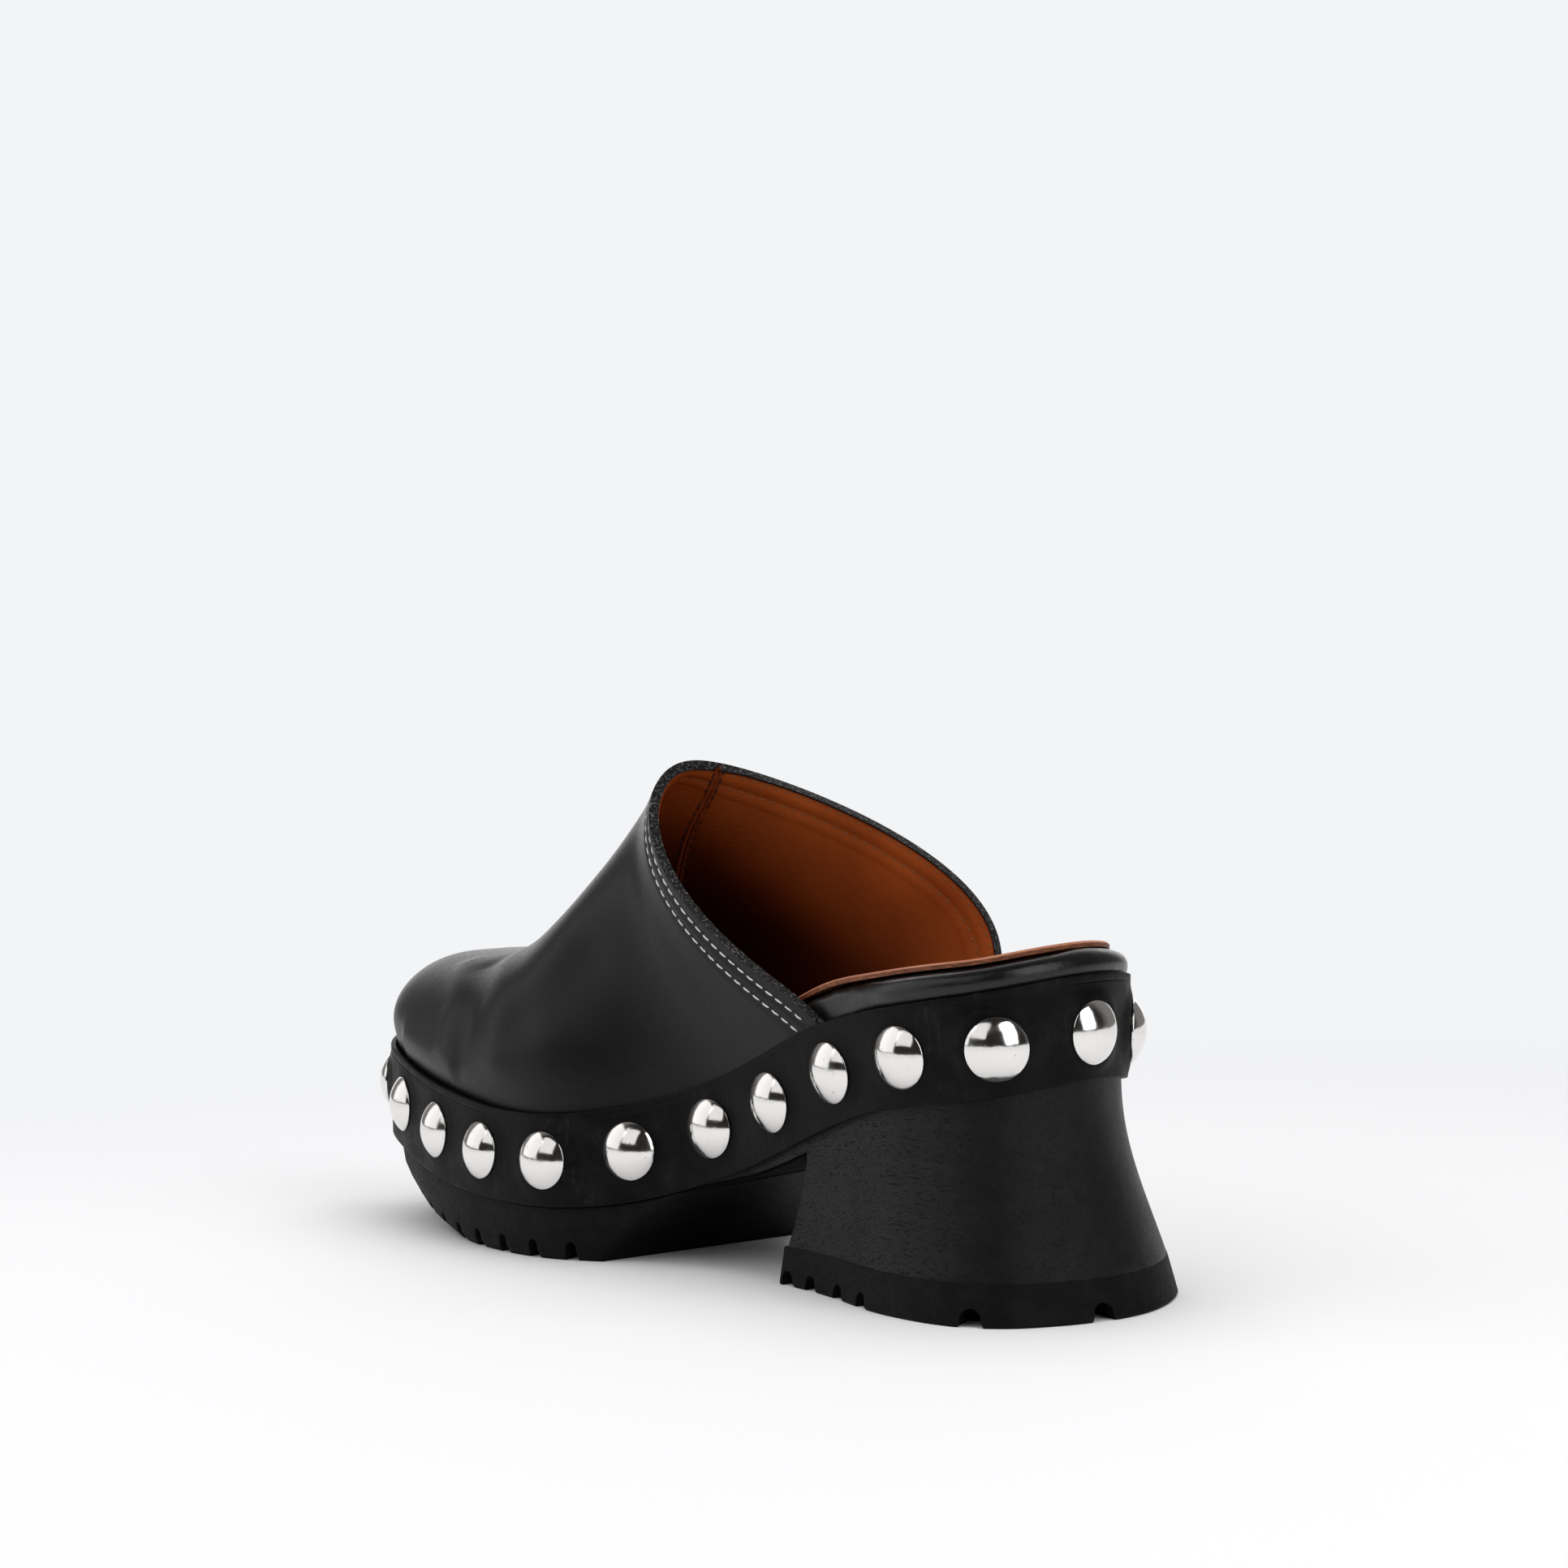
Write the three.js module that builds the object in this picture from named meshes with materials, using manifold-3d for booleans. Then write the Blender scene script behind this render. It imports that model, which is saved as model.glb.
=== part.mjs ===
// Studded platform clog for the left foot: an open-backed leather upper nailed to a wooden base
// with a flared block heel, a leather band with dome studs round the edge, and lugged rubber under it.
// Millimetres, +X to the toe, +Y to the outer (lateral) side of the foot, +Z up.
// The origin is on the floor, under the middle of the heel.

import * as THREE from 'three';
import { mergeVertices } from 'three/addons/utils/BufferGeometryUtils.js';
import Module from 'manifold-3d';

const wasm = await Module();
wasm.setup();

// Driving dimensions of the base.
const soleLength = 243.5;
const heelToCentre = 30;
const heelWidth = 58;
const ballWidth = 84;
const heelSeatHeight = 73;
const platformHeight = 34.5;
const toeSpring = 14;
const bandWidth = 22.6;
const bandLean = 5.5;

// Thicknesses, the clearance that every two pieces keep, and the room for facets on tight bends.
const clearance = 0.3;
const facetRoom = 0.3;
const bandThickness = 1.5;
const upperWall = 2;
const footbedThickness = 8;
const footbedPadding = 0.9;
const footbedTuck = 3;
const footbedTuckLength = 13;
const insoleThickness = 1.3;
const insoleMargin = 3.2;
const insoleBevel = 0.4;
const rebateDepth = 5;
const woodShoulder = 1.6;
const woodShoulderFade = 5;

// Heel block and its rubber lift.
const breastAlong = 66;
const heelFlareBack = 0.4;
const heelFlareFront = 0.27;
const heelFlareWidth = 0.35;
const liftThickness = 9;

// Rubber under the forefoot.
const treadBreastAlong = 127;
const treadTailAlong = 102;
const treadTailLip = 0.8;
const treadRiseAlong = 180;
const treadToeLift = 10;
const treadEdgeInset = 1;
const treadUndercutAlong = 157;
const treadUndercut = 3.2;

// Lugs: arch-topped notches cut into the rubber from its side.
const notchDepth = 9;
const notchWidth = 3;
const notchHeight = 4.2;
const heelNotchWidth = 5.2;
const heelNotchHeight = 4.6;
const notchSpacing = 10.5;

// Upper: the collar starts on the base at these places and is highest at its front.
const collarOuterAlong = 58;
const collarInnerAlong = 51;
const collarTopAlong = 125.5;
const collarTopHeight = 85;
const toeBoxHeight = 35.4;
const toePoleSetback = 19;

// Dome studs, driven in at equal steps round the whole edge.
const studDiameter = 14;
const studHeight = 3.3;
const studRim = 0.5;
const studCount = 24;
const studStart = 1.2;

// Fineness of the faceted surfaces.
const ringSteps = 40;
const ribCount = 26;
const ribSteps = 11;
const treadSteps = 38;
const heelSteps = 17;
const studSides = 14;
const studRings = 4;
const archSteps = 5;

// Outline of the base seen from above, heel to toe. along is a share of the sole's length.
// outer and inner are shares of the local width: the heel's width up to heelEnd, the ball's from
// ballStart on, and a smooth change between.
const heelEnd = 0.2;
const ballStart = 0.6;
const outlineTable = [
  { along: 0.000, outer: 0.000, inner: 0.000 },
  { along: 0.043, outer: 0.415, inner: 0.415 },
  { along: 0.134, outer: 0.502, inner: 0.502 },
  { along: 0.230, outer: 0.447, inner: 0.470 },
  { along: 0.320, outer: 0.355, inner: 0.385 },
  { along: 0.414, outer: 0.262, inner: 0.325 },
  { along: 0.503, outer: 0.296, inner: 0.400 },
  { along: 0.596, outer: 0.390, inner: 0.525 },
  { along: 0.699, outer: 0.387, inner: 0.600 },
  { along: 0.796, outer: 0.327, inner: 0.590 },
  { along: 0.889, outer: 0.233, inner: 0.500 },
  { along: 0.950, outer: 0.135, inner: 0.375 },
  { along: 1.000, outer: -0.155, inner: 0.155 },
];

// The edge seen from the side. rise is the share of the climb from platform to heel seat,
// spring the share of the toe spring, width a share of the band's width, lean a share of its
// lean, pad a share of the footbed's thickness, and nail how high the studs sit in the band.
const edgeTable = [
  { along: 0.000, rise: 1.000, spring: 0.00, width: 1.02, lean: -0.35, pad: 0.64, nail: 0.45 },
  { along: 0.043, rise: 0.928, spring: 0.00, width: 1.02, lean: -0.60, pad: 0.69, nail: 0.46 },
  { along: 0.103, rise: 0.868, spring: 0.00, width: 0.99, lean: -0.80, pad: 0.78, nail: 0.48 },
  { along: 0.174, rise: 0.787, spring: 0.00, width: 0.98, lean: -1.00, pad: 0.86, nail: 0.50 },
  { along: 0.249, rise: 0.670, spring: 0.00, width: 1.05, lean: -0.95, pad: 1.00, nail: 0.50 },
  { along: 0.356, rise: 0.405, spring: 0.00, width: 1.06, lean: -0.45, pad: 1.00, nail: 0.51 },
  { along: 0.441, rise: 0.218, spring: 0.00, width: 1.05, lean: 0.20, pad: 0.90, nail: 0.53 },
  { along: 0.505, rise: 0.096, spring: 0.00, width: 1.03, lean: 0.55, pad: 0.80, nail: 0.53 },
  { along: 0.571, rise: 0.026, spring: 0.00, width: 1.00, lean: 0.60, pad: 0.75, nail: 0.51 },
  { along: 0.657, rise: 0.000, spring: 0.04, width: 0.98, lean: 0.50, pad: 0.70, nail: 0.50 },
  { along: 0.751, rise: 0.000, spring: 0.21, width: 1.02, lean: 0.35, pad: 0.70, nail: 0.50 },
  { along: 0.825, rise: 0.000, spring: 0.40, width: 1.02, lean: 0.20, pad: 0.70, nail: 0.51 },
  { along: 0.912, rise: 0.000, spring: 0.70, width: 1.03, lean: 0.05, pad: 0.70, nail: 0.51 },
  { along: 1.000, rise: 0.000, spring: 1.00, width: 1.03, lean: 0.00, pad: 0.70, nail: 0.51 },
];

// Flare of the heel block from the band down to the floor.
const flareTable = [
  { along: 0.00, flare: 1.00 },
  { along: 0.20, flare: 0.79 },
  { along: 0.32, flare: 0.62 },
  { along: 0.59, flare: 0.24 },
  { along: 0.82, flare: 0.04 },
  { along: 1.00, flare: 0.00 },
];

// Levels of the wooden heel block between the lift (0) and the platform (1).
const blockLevels = [0, 0.15, 0.3, 0.48, 0.7, 1];

// Side of each rubber, from its lower edge (0) to its upper edge (1): trim is how far in it stands.
const liftSideTable = [
  { up: 0.00, trim: 0.8 },
  { up: 0.12, trim: 0.0 },
  { up: 0.55, trim: 0.0 },
  { up: 1.00, trim: 0.0 },
];
const treadSideTable = [
  { up: 0.00, trim: 2.0 },
  { up: 0.14, trim: 1.0 },
  { up: 0.55, trim: 0.2 },
  { up: 1.00, trim: 0.0 },
];
const treadToePower = 1.7;
const treadHollowPower = 0.6;

// Side of the footbed, from the wood (0) to its top (1): swell is a share of the padding, and
// roundIn a share of the margin that the insole leaves.
const footbedSideTable = [
  { up: 0.00, swell: 0.0, roundIn: 0.000 },
  { up: 0.45, swell: 0.0, roundIn: 0.000 },
  { up: 0.54, swell: 0.8, roundIn: 0.000 },
  { up: 0.72, swell: 1.0, roundIn: 0.000 },
  { up: 0.90, swell: 0.0, roundIn: 0.063 },
  { up: 1.00, swell: 0.0, roundIn: 0.875 },
];

// Ridge of the upper from the collar (0) to the top of the toe box (1).
// forward is a share of the way from collar to toe pole, climb of the collar's height over the
// toe box, and aside the ridge's drift to the inner side as a share of the ball's width.
const ridgeTable = [
  { along: 0.00, forward: 0.000, climb: 1.000, aside: 0.010 },
  { along: 0.10, forward: 0.080, climb: 0.925, aside: 0.012 },
  { along: 0.22, forward: 0.190, climb: 0.745, aside: 0.024 },
  { along: 0.34, forward: 0.305, climb: 0.530, aside: 0.036 },
  { along: 0.46, forward: 0.430, climb: 0.290, aside: 0.050 },
  { along: 0.56, forward: 0.535, climb: 0.115, aside: 0.065 },
  { along: 0.66, forward: 0.640, climb: 0.040, aside: 0.082 },
  { along: 0.78, forward: 0.770, climb: 0.012, aside: 0.105 },
  { along: 0.90, forward: 0.890, climb: -0.008, aside: 0.128 },
  { along: 1.00, forward: 1.000, climb: -0.050, aside: 0.148 },
];

// Ribs of the upper from the collar (0) to the toe (1). fullness is the exponent of the rib's
// arch, outerBulge and innerBulge stand out over the band in wall thicknesses, skew is how far
// the rib keeps the collar's own sweep.
const ribTable = [
  { along: 0.00, fullness: 2.35, outerBulge: 0.70, innerBulge: 3.20, skew: 1.00 },
  { along: 0.20, fullness: 2.25, outerBulge: 1.00, innerBulge: 2.60, skew: 0.75 },
  { along: 0.40, fullness: 2.15, outerBulge: 1.20, innerBulge: 1.80, skew: 0.40 },
  { along: 0.60, fullness: 2.25, outerBulge: 1.30, innerBulge: 1.20, skew: 0.12 },
  { along: 0.80, fullness: 2.45, outerBulge: 1.15, innerBulge: 1.10, skew: 0.00 },
  { along: 1.00, fullness: 2.55, outerBulge: 1.05, innerBulge: 1.05, skew: 0.00 },
];
const outerSweep = 1.9;
const innerSweep = 2.3;
const bulgePeak = 0.8;
const bulgeFade = 0.5;

// Reads one column of a table at a place between its rows, on a smooth curve through them.
function columnAt(table, column, along) {
  const last = table.length - 1;
  const place = THREE.MathUtils.clamp(along, table[0].along, table[last].along);
  let row = 0;
  while (row < last - 1 && table[row + 1].along < place) row += 1;
  const slope = (k) => {
    const before = table[Math.max(k - 1, 0)];
    const after = table[Math.min(k + 1, last)];
    return (after[column] - before[column]) / (after.along - before.along);
  };
  const span = table[row + 1].along - table[row].along;
  const s = (place - table[row].along) / span;
  const from = table[row][column];
  const to = table[row + 1][column];
  const leave = slope(row) * span;
  const arrive = slope(row + 1) * span;
  const bend = 2 * (from - to) + leave + arrive;
  const drift = 3 * (to - from) - 2 * leave - arrive;
  return ((bend * s + drift) * s + leave) * s + from;
}

const alongOf = (x) => (x + heelToCentre) / soleLength;
const xOf = (along) => along * soleLength - heelToCentre;
const ease = THREE.MathUtils.smoothstep;

// Heights of the band's two edges, and its lean, at a place along the sole.
function bandTop(x) {
  const along = alongOf(x);
  const climb = (heelSeatHeight - platformHeight) * columnAt(edgeTable, 'rise', along);
  return platformHeight + climb + toeSpring * columnAt(edgeTable, 'spring', along);
}

function bandBottom(x) {
  return bandTop(x) - bandWidth * columnAt(edgeTable, 'width', alongOf(x));
}

function footbedTop(x) {
  return bandTop(x) + footbedThickness * columnAt(edgeTable, 'pad', alongOf(x));
}

function leanSlope(x) {
  return Math.tan(THREE.MathUtils.degToRad(bandLean * columnAt(edgeTable, 'lean', alongOf(x))));
}

// The outline as one closed curve, and each side of it measured off by its own length.
const widthAt = (along) => THREE.MathUtils.lerp(heelWidth, ballWidth, ease(along, heelEnd, ballStart));
const outlinePoints = [];
for (const { along, outer } of outlineTable) {
  outlinePoints.push(new THREE.Vector3(xOf(along), widthAt(along) * outer, 0));
}
for (const { along, inner } of outlineTable.slice(1, -1).reverse()) {
  outlinePoints.push(new THREE.Vector3(xOf(along), -widthAt(along) * inner, 0));
}
const outlineCurve = new THREE.CatmullRomCurve3(outlinePoints, true, 'centripetal');
const toeShare = (outlineTable.length - 1) / outlinePoints.length;

function measureSide(start, end) {
  const steps = 400;
  const places = [];
  let length = 0;
  let previous = outlineCurve.getPoint(start);
  for (let k = 0; k <= steps; k += 1) {
    const share = THREE.MathUtils.lerp(start, end, k / steps);
    const point = outlineCurve.getPoint(share);
    length += point.distanceTo(previous);
    places.push({ length, share });
    previous = point;
  }
  return { length, places };
}
const sides = {
  outer: measureSide(0, toeShare),
  inner: measureSide(1, toeShare),
};

// Point and outward direction of the outline: way runs from the heel (0) to the toe (1).
function outlineAt(side, way) {
  const { length, places } = sides[side];
  const wanted = THREE.MathUtils.clamp(way, 0, 1) * length;
  let k = 1;
  while (k < places.length - 1 && places[k].length < wanted) k += 1;
  const span = places[k].length - places[k - 1].length;
  const part = (wanted - places[k - 1].length) / span;
  const share = THREE.MathUtils.lerp(places[k - 1].share, places[k].share, part);
  const point = outlineCurve.getPoint(share % 1);
  const tangent = outlineCurve.getTangent(share % 1);
  return { point, outward: new THREE.Vector3(-tangent.y, tangent.x, 0) };
}

// The way along one side at which the outline passes a given x.
function wayAtX(side, x) {
  let low = 0;
  let high = 1;
  for (let k = 0; k < 40; k += 1) {
    const middle = (low + high) / 2;
    if (outlineAt(side, middle).point.x < x) low = middle;
    else high = middle;
  }
  return (low + high) / 2;
}

// A point on the edge, moved in from the band's outer face and up to a height, with the band's lean.
function edgePoint(side, way, inset, height) {
  const { point, outward } = outlineAt(side, way);
  const middle = (bandTop(point.x) + bandBottom(point.x)) / 2;
  const reach = -inset - (height - middle) * leanSlope(point.x);
  return point.clone().addScaledVector(outward, reach).setZ(height);
}

// Places round a ring: down the outer side from its start to the toe and back along the inner side.
function ringPlaces(startOuter, startInner, steps) {
  const places = [];
  for (let k = 0; k < steps; k += 1) {
    const way = THREE.MathUtils.lerp(startOuter, 1, (k + 0.5) / steps);
    places.push({ side: 'outer', way });
  }
  for (let k = steps - 1; k >= 0; k -= 1) {
    const way = THREE.MathUtils.lerp(startInner, 1, (k + 0.5) / steps);
    places.push({ side: 'inner', way });
  }
  return places;
}
const wholeRing = ringPlaces(0, 0, ringSteps);

// Geometry from points and faces, with the same points shared.
function geometryOf(points, faces) {
  const geometry = new THREE.BufferGeometry();
  const positions = points.flatMap((point) => [point.x, point.y, point.z]);
  geometry.setAttribute('position', new THREE.Float32BufferAttribute(positions, 3));
  geometry.setIndex(faces.flat());
  const merged = mergeVertices(geometry, 1e-4);
  merged.computeVertexNormals();
  return merged;
}

// A solid from rings stacked upwards, all with the same number of points. The end faces run
// straight across from one side to the other.
function ringSolid(rings) {
  const count = rings[0].length;
  const points = rings.flat();
  const faces = [];
  for (let level = 0; level < rings.length - 1; level += 1) {
    for (let k = 0; k < count; k += 1) {
      const next = (k + 1) % count;
      const a = level * count + k;
      const b = level * count + next;
      faces.push([a, a + count, b + count], [a, b + count, b]);
    }
  }
  const roof = (rings.length - 1) * count;
  for (let k = 0; k < count / 2 - 1; k += 1) {
    const a = k;
    const b = k + 1;
    const c = count - 2 - k;
    const d = count - 1 - k;
    faces.push([a, b, c], [a, c, d]);
    faces.push([roof + a, roof + c, roof + b], [roof + a, roof + d, roof + c]);
  }
  return geometryOf(points, faces);
}

// Joins and cuts go through closed solids and come back as plain geometry.
function solidOf(geometry) {
  const bare = geometry.clone();
  bare.deleteAttribute('normal');
  bare.deleteAttribute('uv');
  const merged = mergeVertices(bare, 1e-4);
  const vertProperties = new Float32Array(merged.attributes.position.array);
  const triVerts = new Uint32Array(merged.index.array);
  return new wasm.Manifold(new wasm.Mesh({ numProp: 3, vertProperties, triVerts }));
}

function geometryOfSolid(solid) {
  const mesh = solid.getMesh();
  const geometry = new THREE.BufferGeometry();
  geometry.setAttribute('position', new THREE.Float32BufferAttribute(mesh.vertProperties, 3));
  geometry.setIndex(Array.from(mesh.triVerts));
  geometry.computeVertexNormals();
  return geometry;
}

// Leather band: one closed strip with softened edges, nailed round the base.
function bandGeometry() {
  const soften = bandThickness / 3;
  const profile = [
    { inset: bandThickness, up: 0 },
    { inset: soften, up: 0 },
    { inset: 0, up: soften },
    { inset: 0, up: 1 },
    { inset: soften, up: 1 },
    { inset: bandThickness, up: 1 },
  ];
  const points = [];
  for (const { side, way } of wholeRing) {
    const { x } = outlineAt(side, way).point;
    const low = bandBottom(x);
    const high = bandTop(x);
    const levels = [low, low, low + soften, high - soften, high, high];
    profile.forEach((corner, k) => points.push(edgePoint(side, way, corner.inset, levels[k])));
  }
  const faces = [];
  const loop = profile.length;
  for (let k = 0; k < wholeRing.length; k += 1) {
    const here = k * loop;
    const there = ((k + 1) % wholeRing.length) * loop;
    for (let c = 0; c < loop; c += 1) {
      const next = (c + 1) % loop;
      faces.push([here + c, here + next, there + next], [here + c, there + next, there + c]);
    }
  }
  return geometryOf(points, faces);
}

// Height of the wood's top face, on which the upper's lasted edge and the footbed stand.
const woodInset = bandThickness + clearance;
const upperInset = woodInset + facetRoom;
const liningInset = upperInset + upperWall + clearance + facetRoom;
const woodTop = (x) => bandTop(x) - rebateDepth;
const treadTailX = xOf(0) + treadTailAlong;

// How far a place lies under the upper: 0 behind the collar, 1 in front of it.
function underUpper(x) {
  const end = xOf(0) + Math.min(collarInnerAlong, collarOuterAlong) - footbedTuck;
  return ease(x, end - footbedTuckLength, end);
}

// Heel block rings: the heel's outline behind the breast, scaled out from the origin by the flare.
// share runs from the floor (0) to the band's lower edge (1).
const breastX = xOf(0) + breastAlong;
const heelPlaces = [];
for (const side of ['outer', 'inner']) {
  const breastWay = wayAtX(side, breastX);
  const half = [];
  for (let k = 0; k < heelSteps; k += 1) half.push({ side, way: breastWay * (1 - k / (heelSteps - 0.5)) });
  heelPlaces.push(...(side === 'outer' ? half : half.reverse()));
}
heelPlaces.reverse();

function heelRing(share, trim, heightAt) {
  const flare = columnAt(flareTable, 'flare', share);
  return heelPlaces.map(({ side, way }) => {
    const { x } = outlineAt(side, way).point;
    const point = edgePoint(side, way, woodInset + trim, bandBottom(x));
    const backward = 1 - ease(x, -heelToCentre / 2, breastX);
    point.x *= 1 + (point.x < 0 ? heelFlareBack : heelFlareFront) * flare;
    point.y *= 1 + heelFlareWidth * flare * backward;
    return point.setZ(heightAt(x));
  });
}

// Wooden base: platform under the whole foot, and the block heel in one with it.
function woodGeometry() {
  const fadeEnd = treadTailX - clearance;
  const shoulderAt = (x) => woodShoulder * (1 - ease(x, fadeEnd - woodShoulderFade, fadeEnd));
  const underside = (x) => bandBottom(x) - shoulderAt(x);
  const ringAt = (inset, heightAt) => wholeRing.map(({ side, way }) => {
    const { x } = outlineAt(side, way).point;
    return edgePoint(side, way, inset, heightAt(x));
  });
  const platform = ringSolid([
    ringAt(woodInset + woodShoulder, underside),
    ringAt(woodInset, (x) => underside(x) + woodShoulder),
    ringAt(woodInset, woodTop),
  ]);
  const lowest = (liftThickness + clearance) / bandBottom(xOf(0));
  const block = ringSolid(blockLevels.map((level) => {
    const share = THREE.MathUtils.lerp(lowest, 1, level);
    return heelRing(share, 0, (x) => share * bandBottom(x));
  }));
  const below = new THREE.BoxGeometry(3 * soleLength, 3 * soleLength, 2 * (liftThickness + clearance));
  return geometryOfSolid(solidOf(platform).add(solidOf(block)).subtract(solidOf(below)));
}

// Cutter for one notch: an arch on the floor, run in from the side of the rubber.
function notchCutter(point, outward, width, height, depth) {
  const arch = new THREE.Shape();
  const radius = width / 2;
  const below = 2;
  arch.moveTo(-radius, -below);
  arch.lineTo(radius, -below);
  arch.lineTo(radius, height - radius);
  for (let k = 1; k < archSteps; k += 1) {
    const turn = (Math.PI * k) / archSteps;
    arch.lineTo(radius * Math.cos(turn), height - radius + radius * Math.sin(turn));
  }
  arch.lineTo(-radius, height - radius);
  const overshoot = 5;
  const geometry = new THREE.ExtrudeGeometry(arch, { depth: depth + overshoot, bevelEnabled: false });
  geometry.translate(0, 0, -depth);
  geometry.rotateX(Math.PI / 2);
  geometry.rotateZ(Math.PI / 2 + Math.atan2(outward.y, outward.x));
  geometry.translate(point.x, point.y, point.z);
  return solidOf(geometry);
}

// Rubber lift under the heel, with its notches: four along each side near the breast, one at each
// back corner and one in the middle of the back.
function liftGeometry() {
  const topShare = liftThickness / bandBottom(xOf(0));
  let solid = solidOf(ringSolid(liftSideTable.map(({ up, trim }) => (
    heelRing(topShare * up, trim, () => liftThickness * up)
  ))));
  const floorRing = heelRing(0, 0, () => 0);
  const cut = (k, width, height) => {
    const before = floorRing[Math.max(k - 1, 0)];
    const after = floorRing[Math.min(k + 1, floorRing.length - 1)];
    const along = after.clone().sub(before).setZ(0).normalize();
    const outward = new THREE.Vector3(along.y, -along.x, 0);
    if (outward.dot(floorRing[k]) < 0) outward.negate();
    solid = solid.subtract(notchCutter(floorRing[k], outward, width, height, notchDepth));
  };
  const last = floorRing.length - 1;
  const middle = Math.round(last / 2);
  const corner = Math.round(heelSteps / 3);
  for (const k of [1, 3, 5, 7]) {
    cut(k, notchWidth, notchHeight);
    cut(last - k, notchWidth, notchHeight);
  }
  for (const k of [middle - corner, middle, middle + corner]) cut(k, heelNotchWidth, heelNotchHeight);
  return geometryOfSolid(solid);
}

// Underside of the forefoot rubber: flat on the floor at the ball, curved up to the toe, and
// hollowed up behind the ball to its tail under the waist.
const treadBreastX = xOf(0) + treadBreastAlong;
const treadTopAt = (x) => bandBottom(x) - clearance;

function treadBottomAt(x) {
  const toeward = Math.max(0, (x - xOf(0) - treadRiseAlong) / (soleLength - treadRiseAlong));
  if (x >= treadBreastX) return treadToeLift * toeward ** treadToePower;
  const back = Math.min(1, (treadBreastX - x) / (treadBreastX - treadTailX));
  return (treadTopAt(treadTailX) - treadTailLip) * back ** treadHollowPower;
}

function treadGeometry() {
  const places = ringPlaces(wayAtX('outer', treadTailX), wayAtX('inner', treadTailX), treadSteps);
  const ringAt = ({ up, trim }) => places.map(({ side, way }) => {
    const { x } = outlineAt(side, way).point;
    const toeward = ease(x, xOf(0) + treadUndercutAlong, xOf(1));
    const undercut = treadEdgeInset + trim * (1 + treadUndercut * toeward);
    return edgePoint(side, way, undercut, THREE.MathUtils.lerp(treadBottomAt(x), treadTopAt(x), up));
  });
  let solid = solidOf(ringSolid(treadSideTable.map(ringAt)));
  for (const side of ['outer', 'inner']) {
    const start = wayAtX(side, treadBreastX) * sides[side].length + notchSpacing;
    const end = sides[side].length - notchSpacing / 3;
    for (let reach = start; reach < end; reach += notchSpacing) {
      const { point, outward } = outlineAt(side, reach / sides[side].length);
      const foot = edgePoint(side, reach / sides[side].length, treadEdgeInset, 0);
      foot.setZ(treadBottomAt(point.x));
      solid = solid.subtract(notchCutter(foot, outward, notchWidth, notchHeight, notchDepth));
    }
  }
  return geometryOfSolid(solid);
}

// Padded footbed: its leather edge swells over the band behind the collar, and stands back
// inside the upper in front of it.
function footbedGeometry() {
  return ringSolid(footbedSideTable.map(({ up, swell, roundIn }) => wholeRing.map(({ side, way }) => {
    const { x } = outlineAt(side, way).point;
    const open = woodInset - swell * footbedPadding + roundIn * insoleMargin;
    const inset = THREE.MathUtils.lerp(open, liningInset, underUpper(x));
    return edgePoint(side, way, inset, THREE.MathUtils.lerp(woodTop(x) + clearance, footbedTop(x), up));
  })));
}

// Insole: a thin tan leather sheet over the footbed.
function insoleGeometry() {
  const ringAt = (up, trim) => wholeRing.map(({ side, way }) => {
    const { x } = outlineAt(side, way).point;
    const inset = THREE.MathUtils.lerp(woodInset + insoleMargin, liningInset + facetRoom, underUpper(x));
    const height = footbedTop(x) + clearance + up;
    return edgePoint(side, way, inset + trim, height);
  });
  return ringSolid([
    ringAt(0, 0),
    ringAt(insoleThickness - insoleBevel, 0),
    ringAt(insoleThickness, insoleBevel),
  ]);
}

// Upper: ribs rise from the edge of the base to a ridge over the foot and end round the toe.
const collarX = { outer: xOf(0) + collarOuterAlong, inner: xOf(0) + collarInnerAlong };
const toePoleX = xOf(1) - toePoleSetback;

function ridgePoint(share) {
  const x = THREE.MathUtils.lerp(xOf(0) + collarTopAlong, toePoleX, columnAt(ridgeTable, 'forward', share));
  const climb = (collarTopHeight - toeBoxHeight) * columnAt(ridgeTable, 'climb', share);
  const y = -ballWidth * columnAt(ridgeTable, 'aside', share);
  return new THREE.Vector3(x, y, platformHeight + toeBoxHeight + climb);
}

function ribPoint(side, share, step) {
  const way = THREE.MathUtils.lerp(wayAtX(side, collarX[side]), 1, share);
  const { point, outward } = outlineAt(side, way);
  const low = bandTop(point.x);
  if (step === 0) return edgePoint(side, way, upperInset, woodTop(point.x) + clearance);
  const foot = edgePoint(side, way, upperInset, low);
  const ridge = ridgePoint(share);
  const turn = (Math.PI / 2) * ((step - 1) / (ribSteps - 1));
  const fullness = columnAt(ribTable, 'fullness', share);
  const across = Math.max(Math.cos(turn), 0) ** (2 / fullness);
  const up = Math.sin(turn) ** (2 / fullness);
  const sweep = side === 'outer' ? 1 - (1 - up) ** outerSweep : up ** innerSweep;
  const forward = THREE.MathUtils.lerp(1 - across, sweep, columnAt(ribTable, 'skew', share));
  const x = THREE.MathUtils.lerp(foot.x, ridge.x, forward);
  const y = THREE.MathUtils.lerp(ridge.y, foot.y, across);
  const bulge = upperWall * columnAt(ribTable, `${side}Bulge`, share) * Math.sin(Math.PI * up ** bulgePeak);
  const rib = new THREE.Vector3(x, y, THREE.MathUtils.lerp(low, ridge.z, up));
  return rib.addScaledVector(outward, bulge * across ** bulgeFade);
}

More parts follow.
